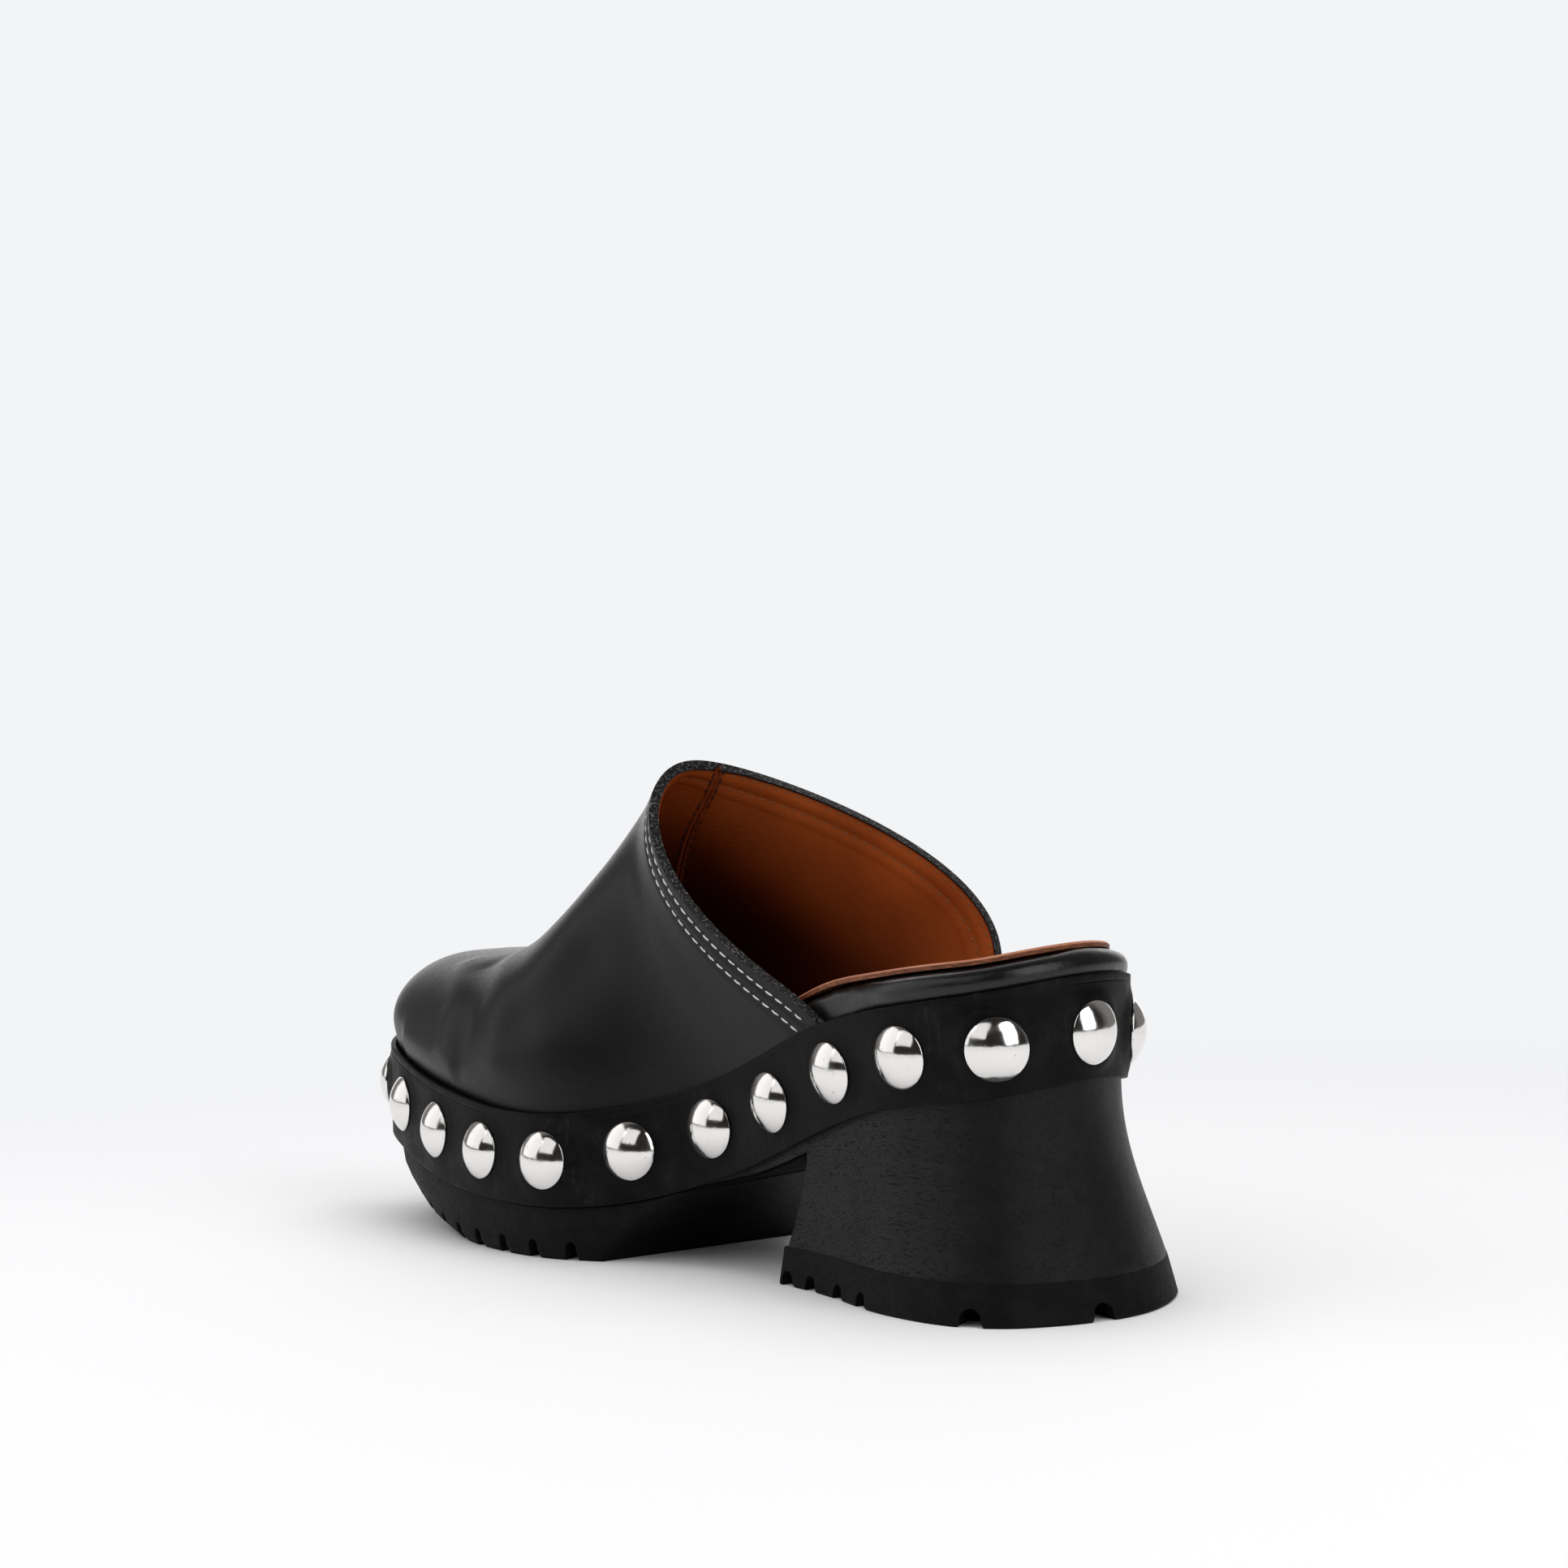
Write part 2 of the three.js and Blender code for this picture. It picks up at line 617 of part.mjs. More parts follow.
function upperGeometry() {
  const points = [];
  const faces = [];
  for (const side of ['outer', 'inner']) {
    const base = points.length;
    for (let rib = 0; rib <= ribCount; rib += 1) {
      for (let step = 0; step <= ribSteps; step += 1) points.push(ribPoint(side, rib / ribCount, step));
    }
    const row = ribSteps + 1;
    for (let rib = 0; rib < ribCount; rib += 1) {
      for (let step = 0; step < ribSteps; step += 1) {
        const a = base + rib * row + step;
        const quad = [a, a + 1, a + row + 1, a + row];
        if (side === 'inner') quad.reverse();
        faces.push([quad[0], quad[1], quad[2]], [quad[0], quad[2], quad[3]]);
      }
    }
  }
  return shellOf(geometryOf(points, faces), upperWall);
}

// Gives an open surface a wall on its inner side and closes it along its free edges.
function shellOf(surface, wall) {
  const outer = surface.attributes.position;
  const normal = surface.attributes.normal;
  const points = [];
  for (let k = 0; k < outer.count; k += 1) points.push(new THREE.Vector3().fromBufferAttribute(outer, k));
  for (let k = 0; k < outer.count; k += 1) {
    const inward = new THREE.Vector3().fromBufferAttribute(normal, k).multiplyScalar(-wall);
    points.push(inward.add(points[k]));
  }
  const index = surface.index.array;
  const faces = [];
  const edges = new Map();
  for (let k = 0; k < index.length; k += 3) {
    const corners = [index[k], index[k + 1], index[k + 2]];
    if (new Set(corners).size < 3) continue;
    faces.push(corners, corners.map((corner) => corner + outer.count).reverse());
    corners.forEach((from, c) => {
      const to = corners[(c + 1) % 3];
      if (edges.has(`${to} ${from}`)) edges.delete(`${to} ${from}`);
      else edges.set(`${from} ${to}`, [from, to]);
    });
  }
  for (const [from, to] of edges.values()) {
    const a = from + outer.count;
    const b = to + outer.count;
    faces.push([to, from, a], [to, a, b]);
  }
  return geometryOf(points, faces);
}

// Dome stud: a turned head with a thin rim and a flat back.
function studGeometry() {
  const radius = studDiameter / 2;
  const profile = [new THREE.Vector2(0, 0), new THREE.Vector2(radius, 0)];
  for (let k = 0; k < studRings; k += 1) {
    const turn = (Math.PI / 2) * (k / studRings);
    const height = studRim + (studHeight - studRim) * Math.sin(turn);
    profile.push(new THREE.Vector2(radius * Math.cos(turn), height));
  }
  profile.push(new THREE.Vector2(0, studHeight));
  const stud = new THREE.LatheGeometry(profile, studSides);
  stud.rotateX(Math.PI / 2);
  stud.deleteAttribute('normal');
  stud.deleteAttribute('uv');
  return geometryOf(...pointsAndFaces(mergeVertices(stud, 1e-3)));
}

function pointsAndFaces(geometry) {
  const points = [];
  const faces = [];
  const { position } = geometry.attributes;
  for (let k = 0; k < position.count; k += 1) points.push(new THREE.Vector3().fromBufferAttribute(position, k));
  for (let k = 0; k < geometry.index.count; k += 3) {
    const face = [0, 1, 2].map((c) => geometry.index.getX(k + c));
    if (new Set(face).size === 3) faces.push(face);
  }
  return [points, faces];
}

// Places a stud at the middle of the band, clear of its curve.
function placeStud(mesh, side, way) {
  const { point, outward } = outlineAt(side, way);
  const level = columnAt(edgeTable, 'nail', alongOf(point.x));
  const height = THREE.MathUtils.lerp(bandBottom(point.x), bandTop(point.x), level);
  const seat = edgePoint(side, way, 0, height);
  const lean = leanSlope(point.x);
  const facing = outward.clone().setZ(lean).normalize();
  let proud = 0;
  for (const step of [-1, -0.5, 0.5, 1]) {
    const nearWay = way + (step * studDiameter) / 2 / sides[side].length;
    const mirrored = nearWay < 0 ? -nearWay : nearWay;
    const nearSide = nearWay < 0 ? { outer: 'inner', inner: 'outer' }[side] : side;
    const near = edgePoint(nearSide, mirrored, 0, height);
    proud = Math.max(proud, near.sub(seat).dot(facing));
  }
  mesh.position.copy(seat).addScaledVector(facing, proud + clearance);
  mesh.quaternion.setFromUnitVectors(new THREE.Vector3(0, 0, 1), facing);
}

// Materials.
const finish = (name, color, roughness, metalness) => {
  const material = new THREE.MeshStandardMaterial({ color, roughness, metalness });
  material.name = name;
  return material;
};
const blackLeather = finish('black_leather', 0x141416, 0.42, 0);
const edgeLeather = finish('edge_leather', 0x101012, 0.3, 0);
const tanLeather = finish('tan_leather', 0xa35f3a, 0.55, 0);
const blackWood = finish('black_wood', 0x1b1b1d, 0.55, 0);
const blackRubber = finish('black_rubber', 0x161617, 0.8, 0);
const polishedSteel = finish('polished_steel', 0xd8d6d2, 0.12, 1);

const clog = new THREE.Group();
function addPiece(name, geometry, material) {
  const mesh = new THREE.Mesh(geometry, material);
  mesh.name = name;
  clog.add(mesh);
  return mesh;
}
addPiece('wooden_base', woodGeometry(), blackWood);
addPiece('heel_lift', liftGeometry(), blackRubber);
addPiece('forefoot_outsole', treadGeometry(), blackRubber);
addPiece('studded_band', bandGeometry(), blackLeather);
addPiece('footbed', footbedGeometry(), edgeLeather);
addPiece('insole', insoleGeometry(), tanLeather);
addPiece('upper', upperGeometry(), blackLeather);

const stud = studGeometry();
const roundLength = sides.outer.length + sides.inner.length;
for (let k = 0; k < studCount; k += 1) {
  const reach = studStart + (roundLength * k) / studCount;
  const onOuter = reach <= sides.outer.length;
  const side = onOuter ? 'outer' : 'inner';
  const way = onOuter ? reach / sides.outer.length : (roundLength - reach) / sides.inner.length;
  const mesh = addPiece(`stud_${String(k + 1).padStart(2, '0')}`, stud.clone(), polishedSteel);
  placeStud(mesh, side, way);
}

export default clog;
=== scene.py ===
# %% [markdown]
# # A studded platform clog
#
# This lesson dresses one left clog: a black leather upper and band, polished dome studs, a padded
# footbed with a tan insole, a wooden platform with a flared heel, and notched rubber underneath.
# The solids come from the frame. Each piece is then made again as its maker would make it: a sheet
# of leather gets its thickness, a ring of wood is drawn down into the heel, a dome is spun.
# Everything is in metres, with +X to the toe, +Y to the outer side of the foot and +Z up.

import math

import bmesh
import bpy
import numpy as np
from mathutils import Matrix, Vector
from mathutils.bvhtree import BVHTree


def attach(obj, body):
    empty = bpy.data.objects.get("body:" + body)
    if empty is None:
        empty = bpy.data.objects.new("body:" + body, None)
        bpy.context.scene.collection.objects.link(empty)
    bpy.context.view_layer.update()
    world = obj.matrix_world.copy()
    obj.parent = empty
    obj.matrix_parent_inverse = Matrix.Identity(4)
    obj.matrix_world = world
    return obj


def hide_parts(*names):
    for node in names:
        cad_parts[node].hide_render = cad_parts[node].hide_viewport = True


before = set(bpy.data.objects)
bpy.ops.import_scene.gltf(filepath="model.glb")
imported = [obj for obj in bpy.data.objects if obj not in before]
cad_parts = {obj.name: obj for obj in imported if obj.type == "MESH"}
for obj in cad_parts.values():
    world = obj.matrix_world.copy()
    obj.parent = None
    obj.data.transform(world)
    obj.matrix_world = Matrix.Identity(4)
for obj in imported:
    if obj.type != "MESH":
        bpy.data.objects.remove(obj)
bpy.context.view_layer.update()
mm = 0.001

# %% [markdown]
# ## The camera
#
# The photograph was taken from the outer side of the heel, a little above the footbed and almost
# level, with a long lens. The camera is set from its place, the point that it looks at and a small
# roll, so that it can be moved like a real one.

# %% Camera
camera_place = Vector((-0.4703, 0.5346, 0.1318))
camera_aim = Vector((0.0818, -0.0182, 0.1130))
camera_roll = math.radians(-1.261)
lens_length = 73.6

bpy.ops.object.camera_add(location=camera_place)
camera = bpy.context.object
camera.name = "camera"
camera.data.lens = lens_length
camera.data.sensor_width = 36
look = (camera_aim - camera_place).to_track_quat("-Z", "Y")
camera.rotation_euler = (look.to_matrix() @ Matrix.Rotation(camera_roll, 3, "Z")).to_euler()
bpy.context.scene.camera = camera
print("camera looks from", tuple(round(c, 3) for c in camera_place))

# %% [markdown]
# ## Floor, background and light
#
# The clog stands on a white sweep. A large plane is the floor, and far from the shoe its paint
# turns into the same glow as the background, so that no horizon shows. Polished domes mirror the
# whole room, so the room matters: a white backdrop behind the shoe, the white floor below, and a
# dim side where the camera stands. Soft boxes stand far to the left, left and right of the camera,
# and above. The one above is hidden from mirrors, because the domes don't show it.

# %% Helpers for finishes
on_bench = None


def new_finish(name):
    """Lays a new finish on the bench. The nodes that follow go into it, until the next one comes."""
    global on_bench
    on_bench = bpy.data.materials.new(name)
    on_bench.use_nodes = True
    print("finish:", name)
    return on_bench


def add(kind, **sockets):
    """Adds a shader node and sets or links the sockets that are named."""
    node = on_bench.node_tree.nodes.new("ShaderNode" + kind)
    for name, value in sockets.items():
        connect(node.inputs[name.replace("_", " ")], value)
    return node


def connect(socket, value):
    """Links a socket to another node's output, or gives it a plain value."""
    if isinstance(value, bpy.types.NodeSocket):
        on_bench.node_tree.links.new(value, socket)
    else:
        socket.default_value = value


def calc(operation, first, second=0.0):
    node = add("Math")
    node.operation = operation
    connect(node.inputs[0], first)
    connect(node.inputs[1], second)
    return node.outputs[0]


def between(value, low, high, start=0.0, end=1.0):
    """Turns a value that runs from low to high into one that runs smoothly from start to end."""
    node = add("MapRange", Value=value)
    node.interpolation_type = "SMOOTHSTEP"
    for name, number in (("From Min", low), ("From Max", high), ("To Min", start), ("To Max", end)):
        node.inputs[name].default_value = number
    return node.outputs["Result"]


def vector(operation, first, second=None):
    node = add("VectorMath")
    node.operation = operation
    connect(node.inputs[0], first)
    if second is not None:
        node.inputs[1].default_value = second
    return node.outputs


def blend(share, first, second):
    node = add("Mix")
    node.data_type = "RGBA"
    connect(node.inputs["Factor"], share)
    for socket, value in ((node.inputs[6], first), (node.inputs[7], second)):
        connect(socket, (*value, 1) if isinstance(value, tuple) and len(value) == 3 else value)
    return node.outputs[2]


def shade(colour, roughness, specular, *layers, metallic=0.0):
    """Sets the surface. Each layer of its relief is a height pattern and a depth in millimetres."""
    shader = on_bench.node_tree.nodes["Principled BSDF"]
    connect(shader.inputs["Base Color"], (*colour, 1) if isinstance(colour, tuple) else colour)
    connect(shader.inputs["Roughness"], roughness)
    connect(shader.inputs["Specular IOR Level"], specular)
    connect(shader.inputs["Metallic"], metallic)
    under = shader.inputs["Normal"]
    for height, depth in reversed(layers):
        bump = add("Bump", Height=height, Distance=depth * mm, Strength=1.0)
        connect(under, bump.outputs[0])
        under = bump.inputs["Normal"]
    return shader


# %% Floor
floor_size = 12
floor_colour = (0.80, 0.80, 0.805)
floor_fade = (0.24, 0.62)
background_colour = (0.893, 0.902, 0.919)

bpy.ops.mesh.primitive_plane_add(size=floor_size, location=(0, 0, 0))
floor = bpy.context.object
floor.name = "floor"
paint = new_finish("floor_paint")
far = between(vector("LENGTH", add("TexCoord").outputs["Object"])["Value"], *floor_fade)
shader = shade(floor_colour, 0.9, 0.1)
glow = add("Emission", Color=(*background_colour, 1), Strength=1.0)
sweep = add("MixShader", Fac=far)
connect(sweep.inputs[1], shader.outputs[0])
connect(sweep.inputs[2], glow.outputs[0])
connect(paint.node_tree.nodes["Material Output"].inputs["Surface"], sweep.outputs[0])
floor.data.materials.append(paint)

# %% Room
room = bpy.data.worlds.new("room")
room.use_nodes = True
on_bench = room
bpy.context.scene.world = room
bpy.context.scene.view_settings.view_transform = "Standard"

room_dim = (0.020, 0.018, 0.017)
room_side = (0.20, 0.19, 0.185)
room_white = (1.50, 1.50, 1.52)
room_fill = (0.30, 0.30, 0.31)
backdrop_height = 0.38
behind_shoe = (0.70, -0.71, 0.05)

direction = add("TexCoord").outputs["Generated"]
flattened = vector("MULTIPLY", direction, (1, 1, backdrop_height))["Vector"]
level_way = vector("NORMALIZE", flattened)["Vector"]
toward_back = vector("DOT_PRODUCT", level_way, behind_shoe)["Value"]
side_share = between(toward_back, -0.25, 0.45)
back_share = between(toward_back, 0.80, 0.95)
mirrored = blend(back_share, blend(side_share, room_dim, room_side), room_white)
rays = add("LightPath").outputs
plain = blend(rays["Is Diffuse Ray"], mirrored, room_fill)
seen = blend(rays["Is Camera Ray"], plain, background_colour)
backdrop = room.node_tree.nodes["Background"]
connect(backdrop.inputs["Color"], seen)
backdrop.inputs["Strength"].default_value = 1.0
print("room: white for mirrors above", room_white[0], "and dim at", room_dim[0])


# %% Soft boxes
def soft_box(name, place, aim, width, height, power):
    bpy.ops.object.light_add(type="AREA", location=place)
    box = bpy.context.object
    box.name = name
    box.data.shape = "RECTANGLE"
    box.data.size = width
    box.data.size_y = height
    box.data.energy = power
    box.rotation_euler = (Vector(aim) - Vector(place)).to_track_quat("-Z", "Y").to_euler()
    return box


shoe_middle = (0.09, -0.01, 0.05)
overhead = soft_box("box_above", (0.16, -0.12, 1.3), shoe_middle, 1.4, 1.4, 12.9)
overhead.visible_glossy = False
soft_box("box_left", (1.06, 0.84, 0.74), (0.09, -0.01, 0.40), 1.45, 1.35, 6.2)
soft_box("box_high", (0.02, 0.80, 0.70), shoe_middle, 0.75, 0.75, 1.6)
soft_box("box_right", (-1.02, 0.05, 0.66), shoe_middle, 0.75, 1.20, 6.2)

# %% [markdown]
# ## From a solid to a sheet
#
# A shoe is made of sheets: leather that is cut, stretched over a last and folded. The frame's
# solids hold the right surface already, so each leather piece starts as a copy of its solid. The
# loose triangles are merged and made quads, one side of the wall is kept and smoothed, and the
# sheet gets its own thickness again with the Solidify modifier.

# %% Helpers for modelling
def alone(piece):
    """Makes a piece the only selected one and the active one."""
    bpy.ops.object.select_all(action="DESELECT")
    piece.select_set(True)
    bpy.context.view_layer.objects.active = piece


def edit(piece, kind="FACE"):
    alone(piece)
    bpy.ops.object.mode_set(mode="EDIT")
    bpy.ops.mesh.select_mode(type=kind)


def done():
    bpy.ops.object.mode_set(mode="OBJECT")


def take_all():
    bpy.ops.mesh.select_all(action="SELECT")


def face_outward():
    """Turns every face of the piece in hand outward and leaves edit mode."""
    take_all()
    bpy.ops.mesh.normals_make_consistent(inside=False)
    done()


def choose(piece, kind, test):
    """In edit mode, selects the vertices, edges or faces that pass a test and nothing else."""
    net = bmesh.from_edit_mesh(piece.data)
    bpy.ops.mesh.select_all(action="DESELECT")
    parts = {"VERT": net.verts, "EDGE": net.edges, "FACE": net.faces}[kind]
    for part in filter(test, parts):
        part.select_set(True)
    net.select_flush_mode()
    bmesh.update_edit_mesh(piece.data)


def modify(piece, kind, **settings):
    """Adds a modifier, sets it and applies it."""
    alone(piece)
    modifier = piece.modifiers.new(kind.lower(), kind)
    for name, value in settings.items():
        setattr(modifier, name, value)
    bpy.ops.object.modifier_apply(modifier=modifier.name)


def round_edges(piece, width, angle):
    """Rounds the edges that turn by more than an angle (degrees), by a width in millimetres."""
    limit = math.radians(angle)
    modify(piece, "BEVEL", width=width * mm, segments=2, limit_method="ANGLE", angle_limit=limit)


# %% [markdown]
# A piece comes either from a solid of the frame or from a mesh that is drawn here. When it is done
# it is handed over: it gets its body, and the solid that it stands for is hidden.

# %% Helpers for pieces
def new_piece(name, mesh):
    piece = bpy.data.objects.new(name, mesh)
    bpy.context.scene.collection.objects.link(piece)
    return piece


def join(pieces):
    """Joins pieces into the first one."""
    bpy.ops.object.select_all(action="DESELECT")
    for piece in pieces:
        piece.select_set(True)
    bpy.context.view_layer.objects.active = pieces[0]
    bpy.ops.object.join()
    return pieces[0]


def hand_over(piece, node=None, angle=None):
    """Shades a piece smooth, gives it its body, and hides the solid that it stands for."""
    alone(piece)
    if angle is None:
        bpy.ops.object.shade_smooth()
    else:
        bpy.ops.object.shade_smooth_by_angle(angle=math.radians(angle))
    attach(piece, "root")
    if node:
        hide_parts(node)


def copy_node(node, name):
    """A copy of a solid from the frame, with its triangles merged and made quads."""
    piece = new_piece(name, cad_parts[node].data.copy())
    piece.data.materials.clear()
    alone(piece)
    bpy.ops.mesh.customdata_custom_splitnormals_clear()
    edit(piece)
    take_all()
    bpy.ops.mesh.remove_doubles(threshold=0.01 * mm)
    bpy.ops.mesh.tris_convert_to_quads(
        face_threshold=math.pi, shape_threshold=math.pi, topology_influence=2.0
    )
    done()
    return piece


def keep_side(piece, test, sharpness):
    """Keeps the smooth side of a solid that starts at the face which scores best in a test."""
    edit(piece)
    net = bmesh.from_edit_mesh(piece.data)
    start = max(net.faces, key=test)
    choose(piece, "FACE", lambda face: face == start)
    bpy.ops.mesh.faces_select_linked_flat(sharpness=math.radians(sharpness))
    bpy.ops.mesh.select_all(action="INVERT")
    bpy.ops.mesh.delete(type="FACE")
    done()


# %% Helpers for points
def eased(value, low, high):
    """Runs softly from 0 to 1 as a value goes from low to high."""
    share = np.clip((value - low) / (high - low), 0, 1)
    return share * share * (3 - 2 * share)


def places_of(piece, kind="co"):
    values = np.zeros(len(piece.data.vertices) * 3)
    piece.data.vertices.foreach_get(kind, values)
    return values.reshape(-1, 3)


def normals_of(piece):
    return places_of(piece, "normal")


def put_places(piece, points):
    piece.data.vertices.foreach_set("co", np.asarray(points, float).ravel())
    piece.data.update()


def quads_in(piece):
    corners = [len(face.vertices) for face in piece.data.polygons]
    return f"{piece.name}: {corners.count(4)} quads, {corners.count(3)} triangles"


# %% [markdown]
# ## The upper
#
# The upper is one piece of smooth leather, wetted and pulled over a last, so its surface runs on
# without a seam from the toe box up the vamp to the collar. The outer side of the solid is kept,
# smoothed three times, and then worked as the last works it: a few soft troughs and ridges are
# laid across the vamp, in millimetres, each one a line with a depth and a width.

# %% Upper sheet
upper = copy_node("upper", "upper_leather")
keep_side(upper, lambda face: face.calc_center_median().z * (face.normal.z > 0.8), 50)
print(quads_in(upper))
modify(upper, "SUBSURF", levels=3, render_levels=3)
print("upper sheet:", len(upper.data.polygons), "faces")

# %% [markdown]
# Creases come next. A crease is given as a line of places on the shoe, in millimetres: across the
# vamp where the foot bends, and down from it to the welt. The leather near the line sinks along its
# own normal, most on the line and less to each side.

# %% Creases of the upper
def beside_line(points, line):
    """How far points lie from a line, how far along it they are, and how long the line is."""
    nearest = np.full(len(points), np.inf)
    way = np.zeros(len(points))
    reach = 0.0
    for start, end in zip(line[:-1], line[1:]):
        step = end - start
        length = np.linalg.norm(step)
        share = np.clip((points - start) @ step / length**2, 0, 1)
        apart = np.linalg.norm(points - start - share[:, None] * step, axis=1)
        way = np.where(apart < nearest, reach + share * length, way)
        nearest = np.minimum(nearest, apart)
        reach += length
    return nearest, way, reach


def crease(piece, route, depth, width):
    """Presses a soft trough along a route, or raises a ridge where the depth is negative.

    The press dies away over a little more than one width before each end of the route.
    """
    points = places_of(piece)
    nearest, way, reach = beside_line(points, np.array(route) * mm)
    fade = eased(np.minimum(way, reach - way), 0, 1.2 * width * mm)
    press = depth * mm * fade * np.exp(-((nearest / (width * mm)) ** 2))
    put_places(piece, points - normals_of(piece) * press[:, None])


upper_creases = [
    ([(163, 8, 71), (158, 15, 67), (150, 24.5, 60), (148.5, 28.5, 53), (150.5, 29.5, 43)], 0.85, 5.5),
    ([(153, 8, 72), (148, 16, 68.5), (137, 27.5, 60), (134, 31, 50), (134, 31, 40)], -0.70, 6.0),
    ([(173, 4, 69), (170, 11, 67), (161, 22, 60), (158.5, 27, 50), (159, 28, 44)], -0.60, 4.5),
    ([(108, 17, 79), (117, 25, 66), (125.5, 29.5, 58), (126, 31, 48)], 1.20, 8.5),
    ([(158, -32, 66), (153, -40, 59), (152, -45, 50)], 0.50, 5.0),
    ([(147, -32, 68), (140, -42, 60), (138, -47, 50)], -0.35, 5.5),
    ([(110, -22, 80), (119, -34, 68), (126, -43, 58)], 0.70, 9.0),
    ([(128, 12, 76), (131, -8, 79), (130, -28, 75)], 0.45, 6.0),
    ([(150, 29, 43), (159, 28, 44), (168, 25.5, 45), (178, 22.5, 46.5), (189, 17.5, 47.5)], -1.0, 4.5),
]
for route, depth, width in upper_creases:
    crease(upper, route, depth, width)
print("creases:", len(upper_creases))

# %% [markdown]
# The collar is where the leather was cut. Its line is found by walking along the free edge from the
# corner at the band, up over the instep and down to the other side. Rows of stitches, the raw edge
# and the lining all follow this line, so it is kept, and each point of the sheet is told how far it
# lies from it.

# %% Collar line
def free_edge(piece):
    """The free edge from one corner of a sheet to the next, starting upwards on the outer side."""
    net = bmesh.new()
    net.from_mesh(piece.data)
    corners = [v for v in net.verts if v.is_boundary and len(v.link_faces) == 1]
    start = max(corners, key=lambda v: v.co.y)
    rims = [edge for edge in start.link_edges if edge.is_boundary]
    edge = max(rims, key=lambda rim: rim.other_vert(start).co.z)
    line = [start.co.copy()]
    here = edge.other_vert(start)
    while here not in corners:
        line.append(here.co.copy())
        edge = next(rim for rim in here.link_edges if rim.is_boundary and rim != edge)
        here = edge.other_vert(here)
    line.append(here.co.copy())
    net.free()
    return np.array(line)


def mark_distance(piece, line, name):
    """Stores on each point of a piece how far it lies from a line, in millimetres."""
    write_layer(piece, name, beside_line(places_of(piece), line)[0] / mm)


def write_layer(piece, name, values):
    layer = piece.data.attributes.new(name, "FLOAT", "POINT")
    layer.data.foreach_set("value", values.astype(np.float32))


def reach_along(line):
    """How far each point of a line lies from its start, along the line."""
    return np.r_[0, np.cumsum(np.linalg.norm(np.diff(line, axis=0), axis=1))]


collar = free_edge(upper)
print(f"collar: {len(collar)} points, {reach_along(collar)[-1] / mm:.0f} mm")

# %% [markdown]
# Stitching pulls the leather down into two shallow grooves along the collar, and the leather swells
# a little between them and at the edge. The lining has one seam, on the inner side near the top,
# which lies in a groove of its own.

# %% Grooves along the collar
stitch_rows = (3.1, 6.9)
groove_depth = 0.34
groove_width = 0.7
swell_height = 0.12
swell_width = 1.0
swell_offset = 1.8

mark_distance(upper, collar, "from_collar")
distance = np.zeros(len(upper.data.vertices))
upper.data.attributes["from_collar"].data.foreach_get("value", distance)
press = np.zeros(len(distance))
for row in stitch_rows:
    press += groove_depth * np.exp(-(((distance - row) / groove_width) ** 2))
    press -= swell_height * np.exp(-(((distance - row + swell_offset) / swell_width) ** 2))
put_places(upper, places_of(upper) - normals_of(upper) * press[:, None] * mm)
print("grooves at", stitch_rows, "mm from the collar")

# %% [markdown]
# ## The lining and the thickness
#
# The lining is a second, thinner sheet just inside the first. It is copied before either sheet has
# a thickness, moved in, and then both are thickened inwards. The rim of both gets a material of its
# own, because the maker paints the cut edge black.

# %% Lining and leather thickness
leather_thickness = 1.6
lining_thickness = 0.75
lining_gap = 0.05
seam_raise = 0.30
seam_width = 0.9

lining = new_piece("lining", upper.data.copy())
edit(lining)
take_all()
bpy.ops.transform.shrink_fatten(value=-(leather_thickness + lining_gap) * mm)
done()

lining_seam = [
    (89, -4, 117), (98, -7.6, 109.5), (105, -9.5, 102.5), (112, -13, 95), (120, -19, 87), (128, -26, 78)
]
crease(lining, lining_seam, -seam_raise, seam_width)
mark_distance(lining, np.array(lining_seam) * mm, "from_seam")
lining_edge = free_edge(lining)
lining_tree = BVHTree.FromObject(lining, bpy.context.evaluated_depsgraph_get())
upper_tree = BVHTree.FromObject(upper, bpy.context.evaluated_depsgraph_get())
for piece, thickness in ((upper, leather_thickness), (lining, lining_thickness)):
    piece.data.materials.append(None)
    piece.data.materials.append(None)
    modify(piece, "SOLIDIFY", thickness=thickness * mm, offset=-1, material_offset_rim=1)
hand_over(upper, "upper", 50)
hand_over(lining, angle=50)
print("upper:", len(upper.data.polygons), "lining:", len(lining.data.polygons))

# %% [markdown]
# ## The outline of the base
#
# Everything below the foot shares one outline. It is read from the band: its lower and upper edge
# as two closed lines, made finer by curves through their points. Each side of the shoe is then
# known by how far along it lies, so a ring at any inset and any height can be asked for.

# %% Outline of the base
def smooth_loop(points, steps):
    """A finer closed line on curves through the points."""
    before, here, after, beyond = (np.roll(points, turn, axis=0)[:, None] for turn in (1, 0, -1, -2))
    share = (np.arange(steps) / steps)[None, :, None]
    line = 2 * here + (after - before) * share
    line = line + (2 * before - 5 * here + 4 * after - beyond) * share**2
    line = line + (3 * here - before - 3 * after + beyond) * share**3
    return (line / 2).reshape(-1, points.shape[1])


def is_tall(edge):
    """Tells the edges that run up the band from the ones that run along it."""
    return abs(edge.verts[0].co.z - edge.verts[1].co.z) > 8 * mm


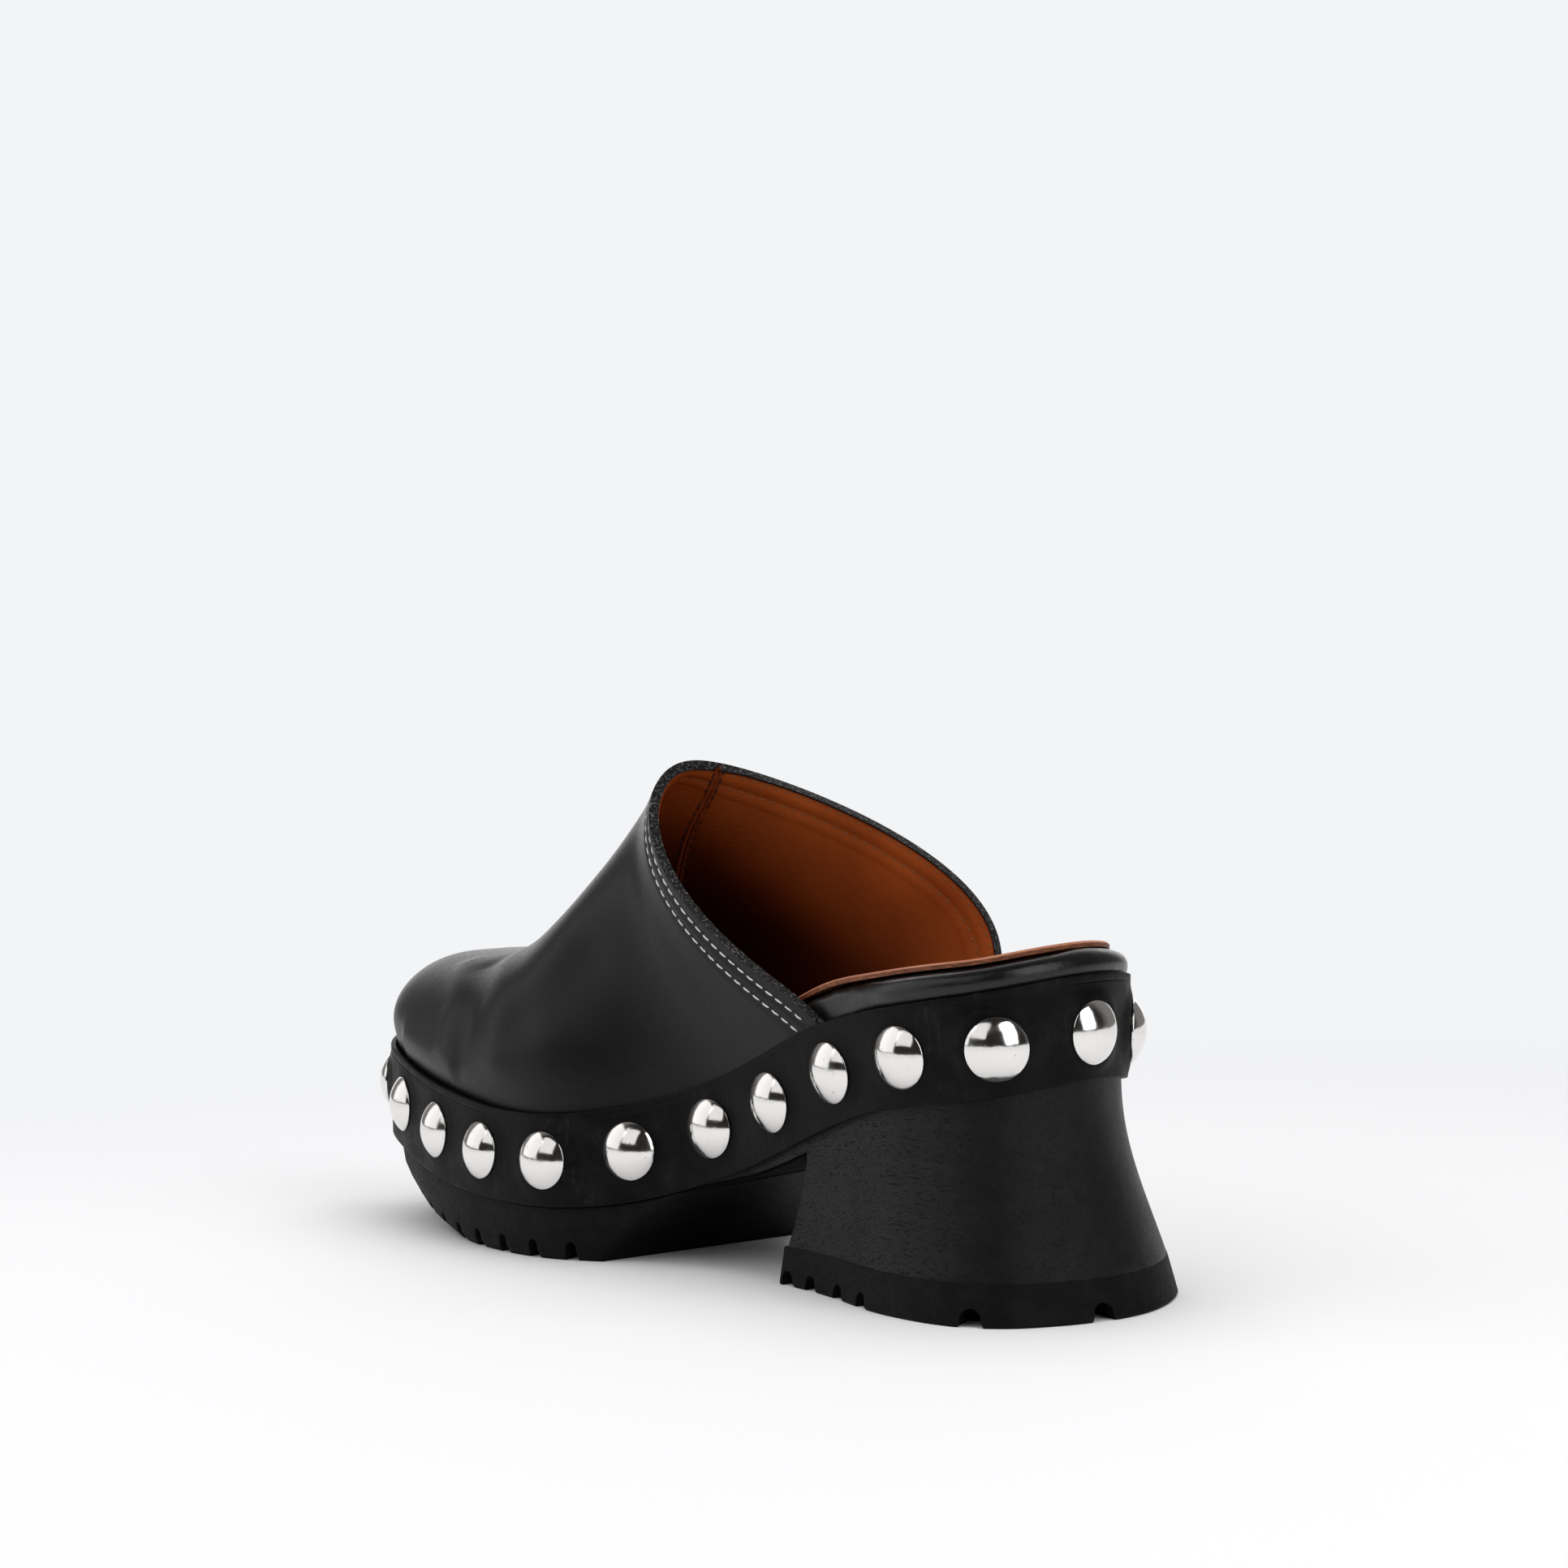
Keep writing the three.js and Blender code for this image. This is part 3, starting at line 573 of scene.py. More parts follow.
def read_wall(piece):
    """The lower and upper points of a ring of tall faces, in order round the ring."""
    net = bmesh.new()
    net.from_mesh(piece.data)
    tall = set(filter(is_tall, net.edges))
    first = min(tall, key=lambda edge: edge.verts[0].co.x)
    lower, upper_row = [], []
    edge, came_by = first, None
    while edge is not None:
        low, high = sorted(edge.verts, key=lambda v: v.co.z)
        lower.append(low.co.copy())
        upper_row.append(high.co.copy())
        ahead = [face for face in edge.link_faces if face != came_by]
        if came_by is None:
            ahead.sort(key=lambda face: -face.calc_center_median().y)
        came_by = ahead[0]
        edge = next(e for e in came_by.edges if e in tall and e != edge)
        if edge == first:
            edge = None
    net.free()
    return np.array(lower), np.array(upper_row)


band_soften = 0.5
band = copy_node("studded_band", "band_leather")
keep_side(band, lambda face: face.calc_center_median().x * (face.normal.x > 0.5), 30)
print(quads_in(band))
lower_points, upper_points = read_wall(band)
lower_points[:, 2] -= band_soften * mm
upper_points[:, 2] += band_soften * mm
lower_loop = smooth_loop(lower_points, 12)
upper_loop = smooth_loop(upper_points, 12)
turn = -int(lower_loop[:, 0].argmin())
lower_loop, upper_loop = (np.roll(loop, turn, axis=0) for loop in (lower_loop, upper_loop))
tangents = np.roll(lower_loop, -1, axis=0) - np.roll(lower_loop, 1, axis=0)
outward_loop = np.column_stack([-tangents[:, 1], tangents[:, 0], np.zeros(len(tangents))])
outward_loop /= np.linalg.norm(outward_loop, axis=1)[:, None]
toe_index = int(lower_loop[:, 0].argmax())
sides = {}
for side, order in (
    ("outer", np.arange(0, toe_index + 1)),
    ("inner", np.r_[0, np.arange(len(lower_loop) - 1, toe_index - 1, -1)]),
):
    sides[side] = [loop[order] for loop in (lower_loop, upper_loop, outward_loop)]
heel_end_x, toe_end_x = lower_loop[0, 0], lower_loop[toe_index, 0]
print("base runs from", round(heel_end_x / mm, 1), "to", round(toe_end_x / mm, 1), "mm")


# %% Places on the outline
def line_at(line, steps):
    """Places on a line of points, each at a number of steps from its start."""
    return np.stack([np.interp(steps, range(len(line)), column) for column in line.T], axis=-1)


def at(side, x, which):
    """A column of the outline at a place along the shoe, on one side."""
    rows = sides[side]
    return line_at(rows[which], np.interp(x, rows[0][:, 0], range(len(rows[0]))))


def wall_line(side, x, inset, height):
    """Places on the outline, moved in by the inset (mm) and up to a height, with the band's lean."""
    x = np.asarray(x, float)
    low, high, outward = (at(side, x, which) for which in range(3))
    z = height(x) if callable(height) else np.broadcast_to(height, x.shape)
    share = ((z - low[:, 2]) / (high[:, 2] - low[:, 2]))[:, None]
    place = low + (high - low) * share - outward * np.asarray(inset).reshape(-1, 1) * mm
    place[:, 2] = z
    return place


def band_low(x):
    return at("outer", x, 0)[:, 2]


def band_high(x):
    return at("outer", x, 1)[:, 2]


# %% [markdown]
# ## Dome studs
#
# A dome stud is pressed from sheet steel. One is modelled: a disc for the rim, then rings extruded
# up and drawn in along a ball's curve. It is copied to each place, with its axis read from the
# solid there. The band is shaped after the studs, because they are nailed through it.

# %% One stud
stud_radius = 7.0
stud_height = 3.3
stud_rim = 0.45
dome_rise = stud_height - stud_rim
ball_radius = (stud_radius**2 + dome_rise**2) / (2 * dome_rise)
rim_turn = math.asin(stud_radius / ball_radius)
dome_rings = 9

bpy.ops.mesh.primitive_circle_add(vertices=40, radius=stud_radius * mm, fill_type="NGON")
stud = bpy.context.object
stud.name = "stud"
edit(stud)
take_all()
radius, height = stud_radius * mm, 0.0
for ring in range(dome_rings + 1):
    turn = rim_turn * (1 - ring / (dome_rings + 0.6))
    next_radius = ball_radius * math.sin(turn) * mm
    next_height = (stud_rim + ball_radius * (math.cos(turn) - math.cos(rim_turn))) * mm
    bpy.ops.mesh.extrude_region()
    bpy.ops.transform.translate(value=(0, 0, next_height - height))
    scale = next_radius / radius
    bpy.ops.transform.resize(value=(scale, scale, 1), center_override=(0, 0, next_height))
    radius, height = next_radius, next_height
bpy.ops.mesh.merge(type="CENTER")
choose(stud, "VERT", lambda v: v.co.z > 0.99 * height and v.co.xy.length < 0.001 * mm)
bpy.ops.transform.translate(value=(0, 0, stud_height * mm - height))
face_outward()
round_edges(stud, 0.12, 40)
print("stud:", len(stud.data.polygons), "faces")


# %% Places of the studs
base_middle = np.array([90, -8, 40]) * mm


def stud_frame(node):
    """The middle of a stud's flat back and the way that its dome faces."""
    points = places_of(node)
    middle = points.mean(axis=0)
    axis = np.linalg.svd(points - middle)[2][2]
    if axis @ (middle - base_middle) < 0:
        axis = -axis
    heights = (points - middle) @ axis
    back = middle + axis * heights.min()
    rim = points[heights < heights.min() + 0.1 * mm]
    centre = (rim.max(axis=0) + rim.min(axis=0)) / 2
    centre += axis * ((back - centre) @ axis)
    return centre, axis


stud_names = sorted(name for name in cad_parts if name.startswith("stud_"))
stud_frames = {name: stud_frame(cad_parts[name]) for name in stud_names}
studs = []
for name, (centre, axis) in stud_frames.items():
    one = new_piece("dome_" + name[-2:], stud.data.copy())
    turn = Vector(axis).to_track_quat("Z", "Y").to_matrix().to_4x4()
    one.data.transform(Matrix.Translation(centre) @ turn)
    hand_over(one, name, 35)
    studs.append(one)
bpy.data.objects.remove(stud)
print("studs:", len(studs))

# %% [markdown]
# ## The band
#
# The band is a long strap of leather, wrapped round the base over the edge of the upper. Its outer
# face is a ring of tall quads. They are cut across, smoothed, and then pressed by the studs: under
# each dome the leather lies flat against its back, and round the rim it runs off in a soft dish.

# %% Band sheet
edit(band, "EDGE")
net = bmesh.from_edit_mesh(band.data)
for edge in net.edges:
    low, high = sorted(edge.verts, key=lambda v: v.co.z)
    if is_tall(edge):
        low.co.z -= band_soften * mm
        high.co.z += band_soften * mm
choose(band, "EDGE", is_tall)
bpy.ops.mesh.subdivide(number_cuts=8)
done()
modify(band, "SUBSURF", levels=2, render_levels=2)

band_edge_line = upper_loop[::3]
mark_distance(band, np.vstack([band_edge_line, band_edge_line[:1]]), "from_top")
band_thickness = 1.4
stud_dish = 3.4
stud_grip = 0.04
same_side = 6
far_off = 99

points = places_of(band)
near_stud = np.full(len(points), float(far_off))
for centre, axis in stud_frames.values():
    arm = points - centre
    height = arm @ axis
    reach = np.linalg.norm(arm - height[:, None] * axis, axis=1) / mm
    close = np.abs(height) < same_side * mm
    hold = eased(stud_radius + stud_dish - reach, 0, stud_dish) * close
    points = points - axis * (hold * (height + stud_grip * mm))[:, None]
    near_stud = np.minimum(near_stud, np.where(close, reach, far_off))
put_places(band, points)
write_layer(band, "from_stud", near_stud)
modify(band, "SOLIDIFY", thickness=band_thickness * mm, offset=-1)
round_edges(band, 0.3, 55)
hand_over(band, "studded_band", 50)
print("band:", len(band.data.polygons), "faces")

# %% [markdown]
# ## The footbed and the insole
#
# The footbed is a board with a soft pad, wrapped in glossy leather. Its side swells over the band,
# so the solid's rings are smoothed into one full curve. The insole is thinner and cut, so its edges
# stay crisp: they are marked as creases before the same smoothing.

# %% Footbed
def smooth_keeping(piece, angle, levels):
    """Smooths a piece but keeps the edges that turn by more than an angle."""
    net = bmesh.new()
    net.from_mesh(piece.data)
    crease_layer = net.edges.layers.float.new("crease_edge")
    for edge in net.edges:
        if edge.is_manifold and edge.calc_face_angle() > math.radians(angle):
            edge[crease_layer] = 1.0
    net.to_mesh(piece.data)
    net.free()
    modify(piece, "SUBSURF", levels=levels, render_levels=levels)


pad_swell = 0.5
footbed = copy_node("footbed", "footbed_pad")
print(quads_in(footbed))
modify(footbed, "SUBSURF", levels=2, render_levels=2)
edit(footbed, "VERT")
take_all()
bpy.ops.mesh.vertices_smooth(factor=0.5, repeat=10)
bpy.ops.transform.shrink_fatten(value=pad_swell * mm)
done()
modify(footbed, "SUBSURF", levels=1, render_levels=1)
hand_over(footbed, "footbed")

# %% Insole
insole = copy_node("insole", "insole_leather")
print(quads_in(insole))
smooth_keeping(insole, 35, 3)
hand_over(insole, "insole", 35)
print("footbed:", len(footbed.data.polygons), "insole:", len(insole.data.polygons))

# %% [markdown]
# ## Rings and ladders
#
# Wood and rubber are blocks. Each one is drawn like a candle: a ring of edges is laid on the
# outline and extruded again and again, and each new ring is put at its own inset and height. The
# ends are closed by bridging the outer half of the ring to the inner half, so that the faces run
# straight across the shoe like the rungs of a ladder.

# %% Drawing rings
def stations(start, end, count, dense_start, dense_end):
    """Places from start to end, closer together at the ends that are asked for."""
    share = np.linspace(0, 1, count)
    if dense_start and dense_end:
        share = (1 - np.cos(math.pi * share)) / 2
    elif dense_end:
        share = np.sin(math.pi / 2 * share)
    elif dense_start:
        share = 1 - np.cos(math.pi / 2 * share)
    return start + (end - start) * share


def extrude_along(name, rows, edges):
    """Draws a first row of places, joined by edges, through all the others. Stays in edit mode."""
    mesh = bpy.data.meshes.new(name)
    mesh.from_pydata(rows[0], edges, [])
    piece = new_piece(name, mesh)
    edit(piece, "EDGE")
    take_all()
    for row in rows[1:]:
        bpy.ops.mesh.extrude_region()
        net = bmesh.from_edit_mesh(piece.data)
        net.verts.ensure_lookup_table()
        for vertex, place in zip(net.verts[-len(row):], row):
            vertex.co = place
    return piece


def draw_rings(name, rings):
    """A closed block from rings of places that all have the same count, lowest ring first."""
    count = len(rings[0])
    piece = extrude_along(name, rings, [(k, (k + 1) % count) for k in range(count)])
    half = count // 2
    for level in (0, len(rings) - 1):
        first = level * count
        tips = ({first + half - 1, first + half}, {first, first + count - 1})
        ring_places = range(first, first + count)
        choose(piece, "EDGE", lambda e: {v.index for v in e.verts} not in tips and all(
            v.index in ring_places for v in e.verts))
        bpy.ops.mesh.bridge_edge_loops()
    face_outward()
    return piece


def ring_at(x, inset, height):
    """The outer side's places from one end to the other, and the inner side's back again."""
    outer = wall_line("outer", x, inset, height)
    inner = wall_line("inner", x, inset, height)
    return np.vstack([outer, inner[::-1]])


# %% Platform of the wooden base
wood_inset = 1.8
rebate_depth = 5
below_band = 0.3
heel_drop = 2.7
edge_rounding = 0.6
platform_x = stations(heel_end_x + 0.02 * mm, toe_end_x - 0.02 * mm, 90, True, True)


def underside(x):
    """The wood's underside, which drops a little as it nears the heel."""
    return band_low(x) - (below_band + heel_drop * (1 - eased(x, 40 * mm, 84 * mm))) * mm


platform = draw_rings("platform", [
    ring_at(platform_x, wood_inset + edge_rounding, underside),
    ring_at(platform_x, wood_inset, lambda x: underside(x) + edge_rounding * mm),
    ring_at(platform_x, wood_inset, lambda x: band_high(x) - rebate_depth * mm),
])
print(quads_in(platform))

# %% [markdown]
# ## The heel
#
# The heel is one block with the platform. Seen from behind and from the side it flares down to the
# floor, slowly at first and then faster, so each ring is scaled out from the heel's middle by a
# share that grows towards the floor. The rubber lift carries the same flare on to the ground.

# %% Heel rings
heel_breast_x = 37.5 * mm
heel_flare_back = 0.45
heel_flare_front = 0.27
heel_flare_width = 0.38
lift_thickness = 9
heel_in_platform = 2.5
heel_side_count = 46
breast_count = 9


def heel_ring(share, trim=0.0, height=None):
    """The heel's outline at a share of the way up from the floor, with the breast as its last side."""
    x = stations(heel_end_x + 0.02 * mm, heel_breast_x, heel_side_count, True, False)
    halves = [wall_line(side, x, wood_inset + trim, band_low) for side in ("outer", "inner")]
    flare = (1 - share) ** (1 + share)
    reach = heel_flare_back + (heel_flare_front - heel_flare_back) * eased(x, -22 * mm, 22 * mm)
    for half in halves:
        backward = 1 - eased(x, -15 * mm, heel_breast_x)
        half[:, 0] *= 1 + reach * flare
        half[:, 1] *= 1 + heel_flare_width * flare * backward
        half[:, 2] = half[:, 2] * share if height is None else height * mm
    across = np.linspace(0, 1, 2 * breast_count + 2)[1:-1, None]
    breast = halves[0][-1] + (halves[1][-1] - halves[0][-1]) * across
    return np.vstack([halves[0], breast, halves[1][::-1]])


lowest_share = (lift_thickness + 0.05) * mm / band_low(np.array([heel_end_x]))[0]
heel_rings = [heel_ring(share) for share in np.linspace(lowest_share, 1, 22)]
hidden_top = heel_rings[-1].copy()
hidden_top[:, 2] += heel_in_platform * mm
heel = draw_rings("heel", heel_rings + [hidden_top])
print(quads_in(heel))

# %% Wooden base
wooden_base = join([platform, heel])
wooden_base.name = "wooden_base_piece"
round_edges(wooden_base, 0.35, 50)
hand_over(wooden_base, "wooden_base", 40)
print("wooden base:", len(wooden_base.data.polygons), "faces")

# %% [markdown]
# ## Rubber
#
# Both rubbers are cut from a sheet with a row of arch-topped notches moulded into their edge. An arch
# of each size is modelled once as a cutter: a disc whose lower half is spread and sunk, drawn out into
# a rod. It is copied to each notch's place, and one Boolean for each rubber takes the copies out.

# %% Notch cutter
notch_depth = 9
notch_flare = 1.5


def arch(width, height):
    """A cutter for one size of notch, standing at the origin and facing +Y."""
    reach = 3 * mm
    sink = 2 * mm
    bpy.ops.object.select_all(action="DESELECT")
    bpy.ops.mesh.primitive_circle_add(
        vertices=20, radius=width / 2 * mm, fill_type="NGON", rotation=(math.pi / 2, 0, 0)
    )
    cutter = bpy.context.object
    bpy.ops.object.transform_apply(location=True, rotation=True, scale=True)
    edit(cutter, "VERT")
    take_all()
    bpy.ops.transform.translate(value=(0, reach, (height - width / 2) * mm))
    choose(cutter, "VERT", lambda v: v.co.z < (height - width / 2 - 0.01) * mm)
    bpy.ops.transform.resize(value=(notch_flare, 1, 0), center_override=(0, 0, -sink))
    take_all()
    bpy.ops.mesh.extrude_region_move(TRANSFORM_OT_translate={"value": (0, -reach - notch_depth * mm, 0)})
    face_outward()
    return cutter


def set_cutter(cutter, place, outward):
    """A copy of a cutter at a place on the rubber's lower edge, facing outward."""
    one = new_piece(cutter.name, cutter.data.copy())
    turn = Matrix.Rotation(math.atan2(outward[1], outward[0]) - math.pi / 2, 4, "Z")
    one.data.transform(Matrix.Translation(place) @ turn)
    return one


def cut_notches(piece, cutters):
    """Takes all the cutters out of a piece at once."""
    modify(piece, "BOOLEAN", operation="DIFFERENCE", solver="EXACT", object=join(cutters))
    bpy.data.objects.remove(cutters[0])


def outward_at(side, x):
    direction = at(side, np.array([x]), 2)[0]
    return direction / np.linalg.norm(direction)


side_arch, back_arch, tread_arch = arch(3.9, 3.5), arch(5.0, 4.0), arch(2.8, 4.6)
print("cutters:", len(side_arch.data.polygons), "faces each")

# %% Heel lift
lift_side = [(0.0, 0.5), (0.06, 0.1), (0.5, 0.1), (1.0, 0.0)]
notch_x = (44, 35, 25, 14)
back_notch_turns = (-66, 17, 66)

heel_lift = draw_rings("heel_lift_piece", [
    heel_ring(lowest_share * up, trim, lift_thickness * up) for up, trim in lift_side
])
floor_ring = heel_ring(0, 0, 0)
heel_notches = []
for half_start, step in ((0, 1), (len(floor_ring) - 1, -1)):
    half = floor_ring[half_start::step][:heel_side_count]
    for x in notch_x:
        k = min(int(np.abs(half[:, 0] - x * mm).argmin()), heel_side_count - 2)
        way = half[k + 1] - half[k - 1]
        outward = np.array([way[1], -way[0]]) * (-1 if half_start == 0 else 1)
        heel_notches.append(set_cutter(side_arch, half[k], outward))
for turn in back_notch_turns:
    outward = np.array([-math.cos(math.radians(turn)), math.sin(math.radians(turn))])
    k = int((floor_ring[:, :2] @ outward).argmax())
    heel_notches.append(set_cutter(back_arch, floor_ring[k], outward))
cut_notches(heel_lift, heel_notches)

# %% Forefoot outsole
tread_tail_x = {"outer": 81 * mm, "inner": 70 * mm}
tread_breast_x = {"outer": 101.5 * mm, "inner": 92 * mm}
tread_rise_x = 150 * mm
tread_edge_inset = 1.0
tread_toe_inset = 1.8
tread_toe_lift = 10
tread_pitch = 11.8
first_notch = 8
last_notch = 3.5
tread_side = [(0.0, 2.0), (0.14, 1.0), (0.34, 0.55), (0.55, 0.2), (0.8, 0.05), (1.0, 0.0)]


def tread_top(x):
    return band_low(x) - 0.25 * mm


def tread_bottom(side, x):
    """The rubber's underside: flat at the ball, up to the toe, and hollowed to its tail behind."""
    breast, tail = tread_breast_x[side], tread_tail_x[side]
    toeward = np.clip((x - tread_rise_x) / (toe_end_x - tread_rise_x), 0, 1)
    back = np.clip((breast - x) / (breast - tail), 0, 1)
    rise = tread_top(np.array([tail]))[0] - 0.8 * mm
    return np.where(x >= breast, tread_toe_lift * mm * toeward**1.7, rise * back**0.6)


def tread_half(side, up, trim):
    breast, tail = tread_breast_x[side], tread_tail_x[side]
    x = np.r_[breast - (breast - tail) * np.linspace(1, 0, 14) ** 1.8,
              stations(breast, toe_end_x - 0.02 * mm, 60, False, True)[1:]]
    toe_share = eased(x, 127 * mm, toe_end_x)
    inset = tread_edge_inset + tread_toe_inset * toe_share + trim * (1 + 3.2 * toe_share)
    low = tread_bottom(side, x)
    high = tread_top(x)
    return wall_line(side, x, inset, low + (high - low) * up)


tread_rings = [
    np.vstack([tread_half("outer", up, trim), tread_half("inner", up, trim)[::-1]])
    for up, trim in tread_side
]
outsole = draw_rings("outsole_piece", tread_rings)
tread_notches = []
for side in ("outer", "inner"):
    rows = sides[side][0]
    reach = reach_along(rows)
    start = np.interp(tread_breast_x[side], rows[:, 0], reach) + first_notch * mm
    for way in np.arange(start, reach[-1] - last_notch * mm, tread_pitch * mm):
        x = np.interp(way, reach, rows[:, 0])
        foot = wall_line(side, np.array([x]), tread_edge_inset, tread_bottom(side, np.array([x])))[0]
        tread_notches.append(set_cutter(tread_arch, foot, outward_at(side, x)))
cut_notches(outsole, tread_notches)
for cutter in (side_arch, back_arch, tread_arch):
    bpy.data.objects.remove(cutter)

for piece, node in ((heel_lift, "heel_lift"), (outsole, "forefoot_outsole")):
    round_edges(piece, 0.25, 40)
    hand_over(piece, node, 35)
    print(piece.name, len(piece.data.polygons), "faces")


# %% [markdown]
# ## Stitches
#
# Every stitch is thread that comes up from one hole and goes down the next. One is modelled as a
# short arched rod with its ends sunk in. It is copied along each row, turned to the row and to the
# leather's own normal there, and the copies of a row are joined into one mesh.

# %% One stitch
stitch_length = 2.6
thread_radius = 0.25

bpy.ops.mesh.primitive_circle_add(vertices=6, radius=thread_radius * mm, rotation=(0, math.pi / 2, 0))
stitch = bpy.context.object
bpy.ops.object.transform_apply(location=True, rotation=True, scale=True)
edit(stitch, "VERT")
take_all()
bpy.ops.transform.translate(value=(-stitch_length / 2 * mm, 0, -0.30 * mm))
for step, lift in ((0.35, 0.26), (0.95, 0.10), (0.95, -0.10), (0.35, -0.26)):
    bpy.ops.mesh.extrude_region_move(TRANSFORM_OT_translate={"value": (step * mm, 0, lift * mm)})
take_all()
bpy.ops.mesh.region_to_loop()
bpy.ops.mesh.edge_face_add()
take_all()
bpy.ops.mesh.fill_holes(sides=8)
face_outward()
print("stitch:", len(stitch.data.polygons), "faces")


# %% Rows of stitches
def row_beside(tree, line, distance):
    """Places on a surface beside a line at a distance from it, with the surface's normals."""
    ways = np.gradient(line, axis=0)
    places, normals = [], []
    steps = 8
    for start, way in zip(line, ways):
        place, normal = tree.find_nearest(Vector(start))[:2]
        inward = normal.cross(Vector(way)).normalized()
        inward *= math.copysign(1, inward.x)
        for _ in range(steps):
            place, normal = tree.find_nearest(place + inward * (distance * mm / steps))[:2]
            inward = (inward - normal * inward.dot(normal)).normalized()
        places.append(place)
        normals.append(normal)
    return np.array(places), np.array(normals)


def sew(name, places, normals, pitch, size=1.0, slant=0.0, lowest=None):
    """Lays one row of stitches along places on a surface and joins them."""
    reach = reach_along(places)
    row = []
    for way in np.arange(pitch / 2 * mm, reach[-1], pitch * mm):
        near = np.interp([way - 0.8 * mm, way, way + 0.8 * mm], reach, range(len(reach)))
        before, here, after = line_at(places, near)
        if lowest is not None and here[2] < lowest(here[0]):
            continue
        up = Vector(line_at(normals, near[1])).normalized()
        along = Vector(after - before)
        along = (along - up * along.dot(up)).normalized()
        across = up.cross(along)
        turn = Matrix((along, across, up)).transposed().to_4x4()
        one = new_piece(name, stitch.data.copy())
        one.data.transform(
            Matrix.Translation(here) @ turn @ Matrix.Rotation(slant, 4, "Z") @ Matrix.Scale(size, 4)
        )
        row.append(one)
    sewn = join(row)
    sewn.name = name
    hand_over(sewn, angle=60)
    print(name, "stitches along", round(reach[-1] / mm), "mm")
    return sewn


def above_band(x):
    return at("outer", np.array([x]), 1)[0, 2] + 1.7 * mm


white_rows = [
    sew(f"topstitch_{k + 1}", *row_beside(upper_tree, collar, distance), 3.4, slant=0.06, lowest=above_band)
    for k, distance in enumerate(stitch_rows)
]

# %% Rows on the lining
def to_the_inside(places, normals):
    """Moves places from the lining's back to the face that touches the foot."""
    return places - normals * lining_thickness * mm, -normals


lining_rows = [
    sew(f"lining_stitch_{k + 1}", *to_the_inside(*row_beside(lining_tree, lining_edge, distance)), 2.9,
        size=0.7)
    for k, distance in enumerate((1.6, 5.6))
]
seam_way = np.vstack([
    np.linspace(start, end, 12, endpoint=False) for start, end in zip(lining_seam[:-1], lining_seam[1:])
]) * mm
seam_found = [lining_tree.find_nearest(Vector(place))[:2] for place in seam_way]
seam_places, seam_normals = to_the_inside(*(np.array(part) for part in zip(*seam_found)))
seam_across = np.cross(np.gradient(seam_places, axis=0), seam_normals)
seam_across /= np.linalg.norm(seam_across, axis=1)[:, None]
ribbon_thickness = 0.12
ribbon_profile = [(-1.15, -0.05), (-1.0, 0.16), (-0.7, 0.30), (-0.35, 0.24), (-0.12, -0.03),
                  (0.12, -0.03), (0.35, 0.24), (0.7, 0.30), (1.0, 0.16), (1.15, -0.05)]
sections = [
    [place + across * side * mm + normal * height * mm for side, height in ribbon_profile]
    for place, across, normal in zip(seam_places, seam_across, seam_normals)
]
count = len(ribbon_profile)
seam_ribbon = extrude_along("seam_ribbon", sections, [(k, k + 1) for k in range(count - 1)])
face_outward()
if normals_of(seam_ribbon)[count // 2] @ seam_normals[0] < 0:
    edit(seam_ribbon)
    take_all()
    bpy.ops.mesh.flip_normals()
    done()
modify(seam_ribbon, "SOLIDIFY", thickness=ribbon_thickness * mm, offset=-1)
hand_over(seam_ribbon)
seam_rows = [
    sew(f"seam_stitch_{k + 1}", seam_places + (seam_across * shift + seam_normals * ribbon_thickness) * mm,
        seam_normals, 2.7, size=0.72)
    for k, shift in enumerate((-1.1, 1.1))
]
bpy.data.objects.remove(stitch)

# %% [markdown]
# ## Finishes
#
# Black things are told apart by their gloss and their relief. Each finish here starts from patterns
# of a known size in millimetres, laid on object coordinates, and mixes them into colour, roughness
# and bump.

# %% Helpers for patterns
def pattern(kind, size, stretch=(1, 1, 1), **settings):
    """A pattern whose blots are about size millimetres wide, stretched along the axes."""
    place = add("Mapping", Vector=add("TexCoord").outputs["Object"])
    place.inputs["Scale"].default_value = [1 / (size * mm * axis) for axis in stretch]
    return add("Tex" + kind, Vector=place.outputs[0], Scale=1.0, **settings).outputs[0]


def noise(size, detail, roughness=0.5, stretch=(1, 1, 1)):
    return pattern("Noise", size, stretch, Detail=detail, Roughness=roughness)


def mottle(value, low, high, first, second):
    """Goes from one colour to another as a pattern goes from low to high."""
    return blend(between(value, low, high), first, second)


def times(first, second):
    return calc("MULTIPLY", first, second)


def plus(first, second):
    return calc("ADD", first, second)


def measure(name):
    """The distance in millimetres that a piece's points carry."""
    node = add("Attribute")
    node.attribute_name = name
    return node.outputs["Fac"]


def dress(piece, *finishes):
    """Gives a piece its finishes, in the order of the numbers that its faces carry."""
    for number, finish in enumerate(finishes):
        if number == len(piece.data.materials):
            piece.data.materials.append(None)
        piece.data.materials[number] = finish


# %% [markdown]
# The upper's leather is smooth and half matt: broad clouds, fine grain and pores. Close to the
# collar it is worn a little lighter and duller.

# %% Upper leather
smooth_leather = new_finish("smooth_leather")
clouds = noise(26, 3.0)
grain = noise(0.8, 4.0, 0.65)
pores = pattern("Voronoi", 0.7)
edge_wear = between(measure("from_collar"), 0.2, 1.1, 1.0, 0.0)
black = mottle(clouds, 0.35, 0.65, (0.0030, 0.0030, 0.0032), (0.0052, 0.0050, 0.0050))
worn = blend(times(edge_wear, 0.5), black, (0.02, 0.02, 0.021))
sheen = plus(between(grain, 0.25, 0.75, 0.31, 0.41), times(edge_wear, 0.15))
shade(worn, sheen, 0.20, (clouds, 0.25), (grain, 0.05), (pores, 0.02))

# %% [markdown]
# A cut edge is raw flesh side under black paint, so it is rough, with pale crumbs in it.

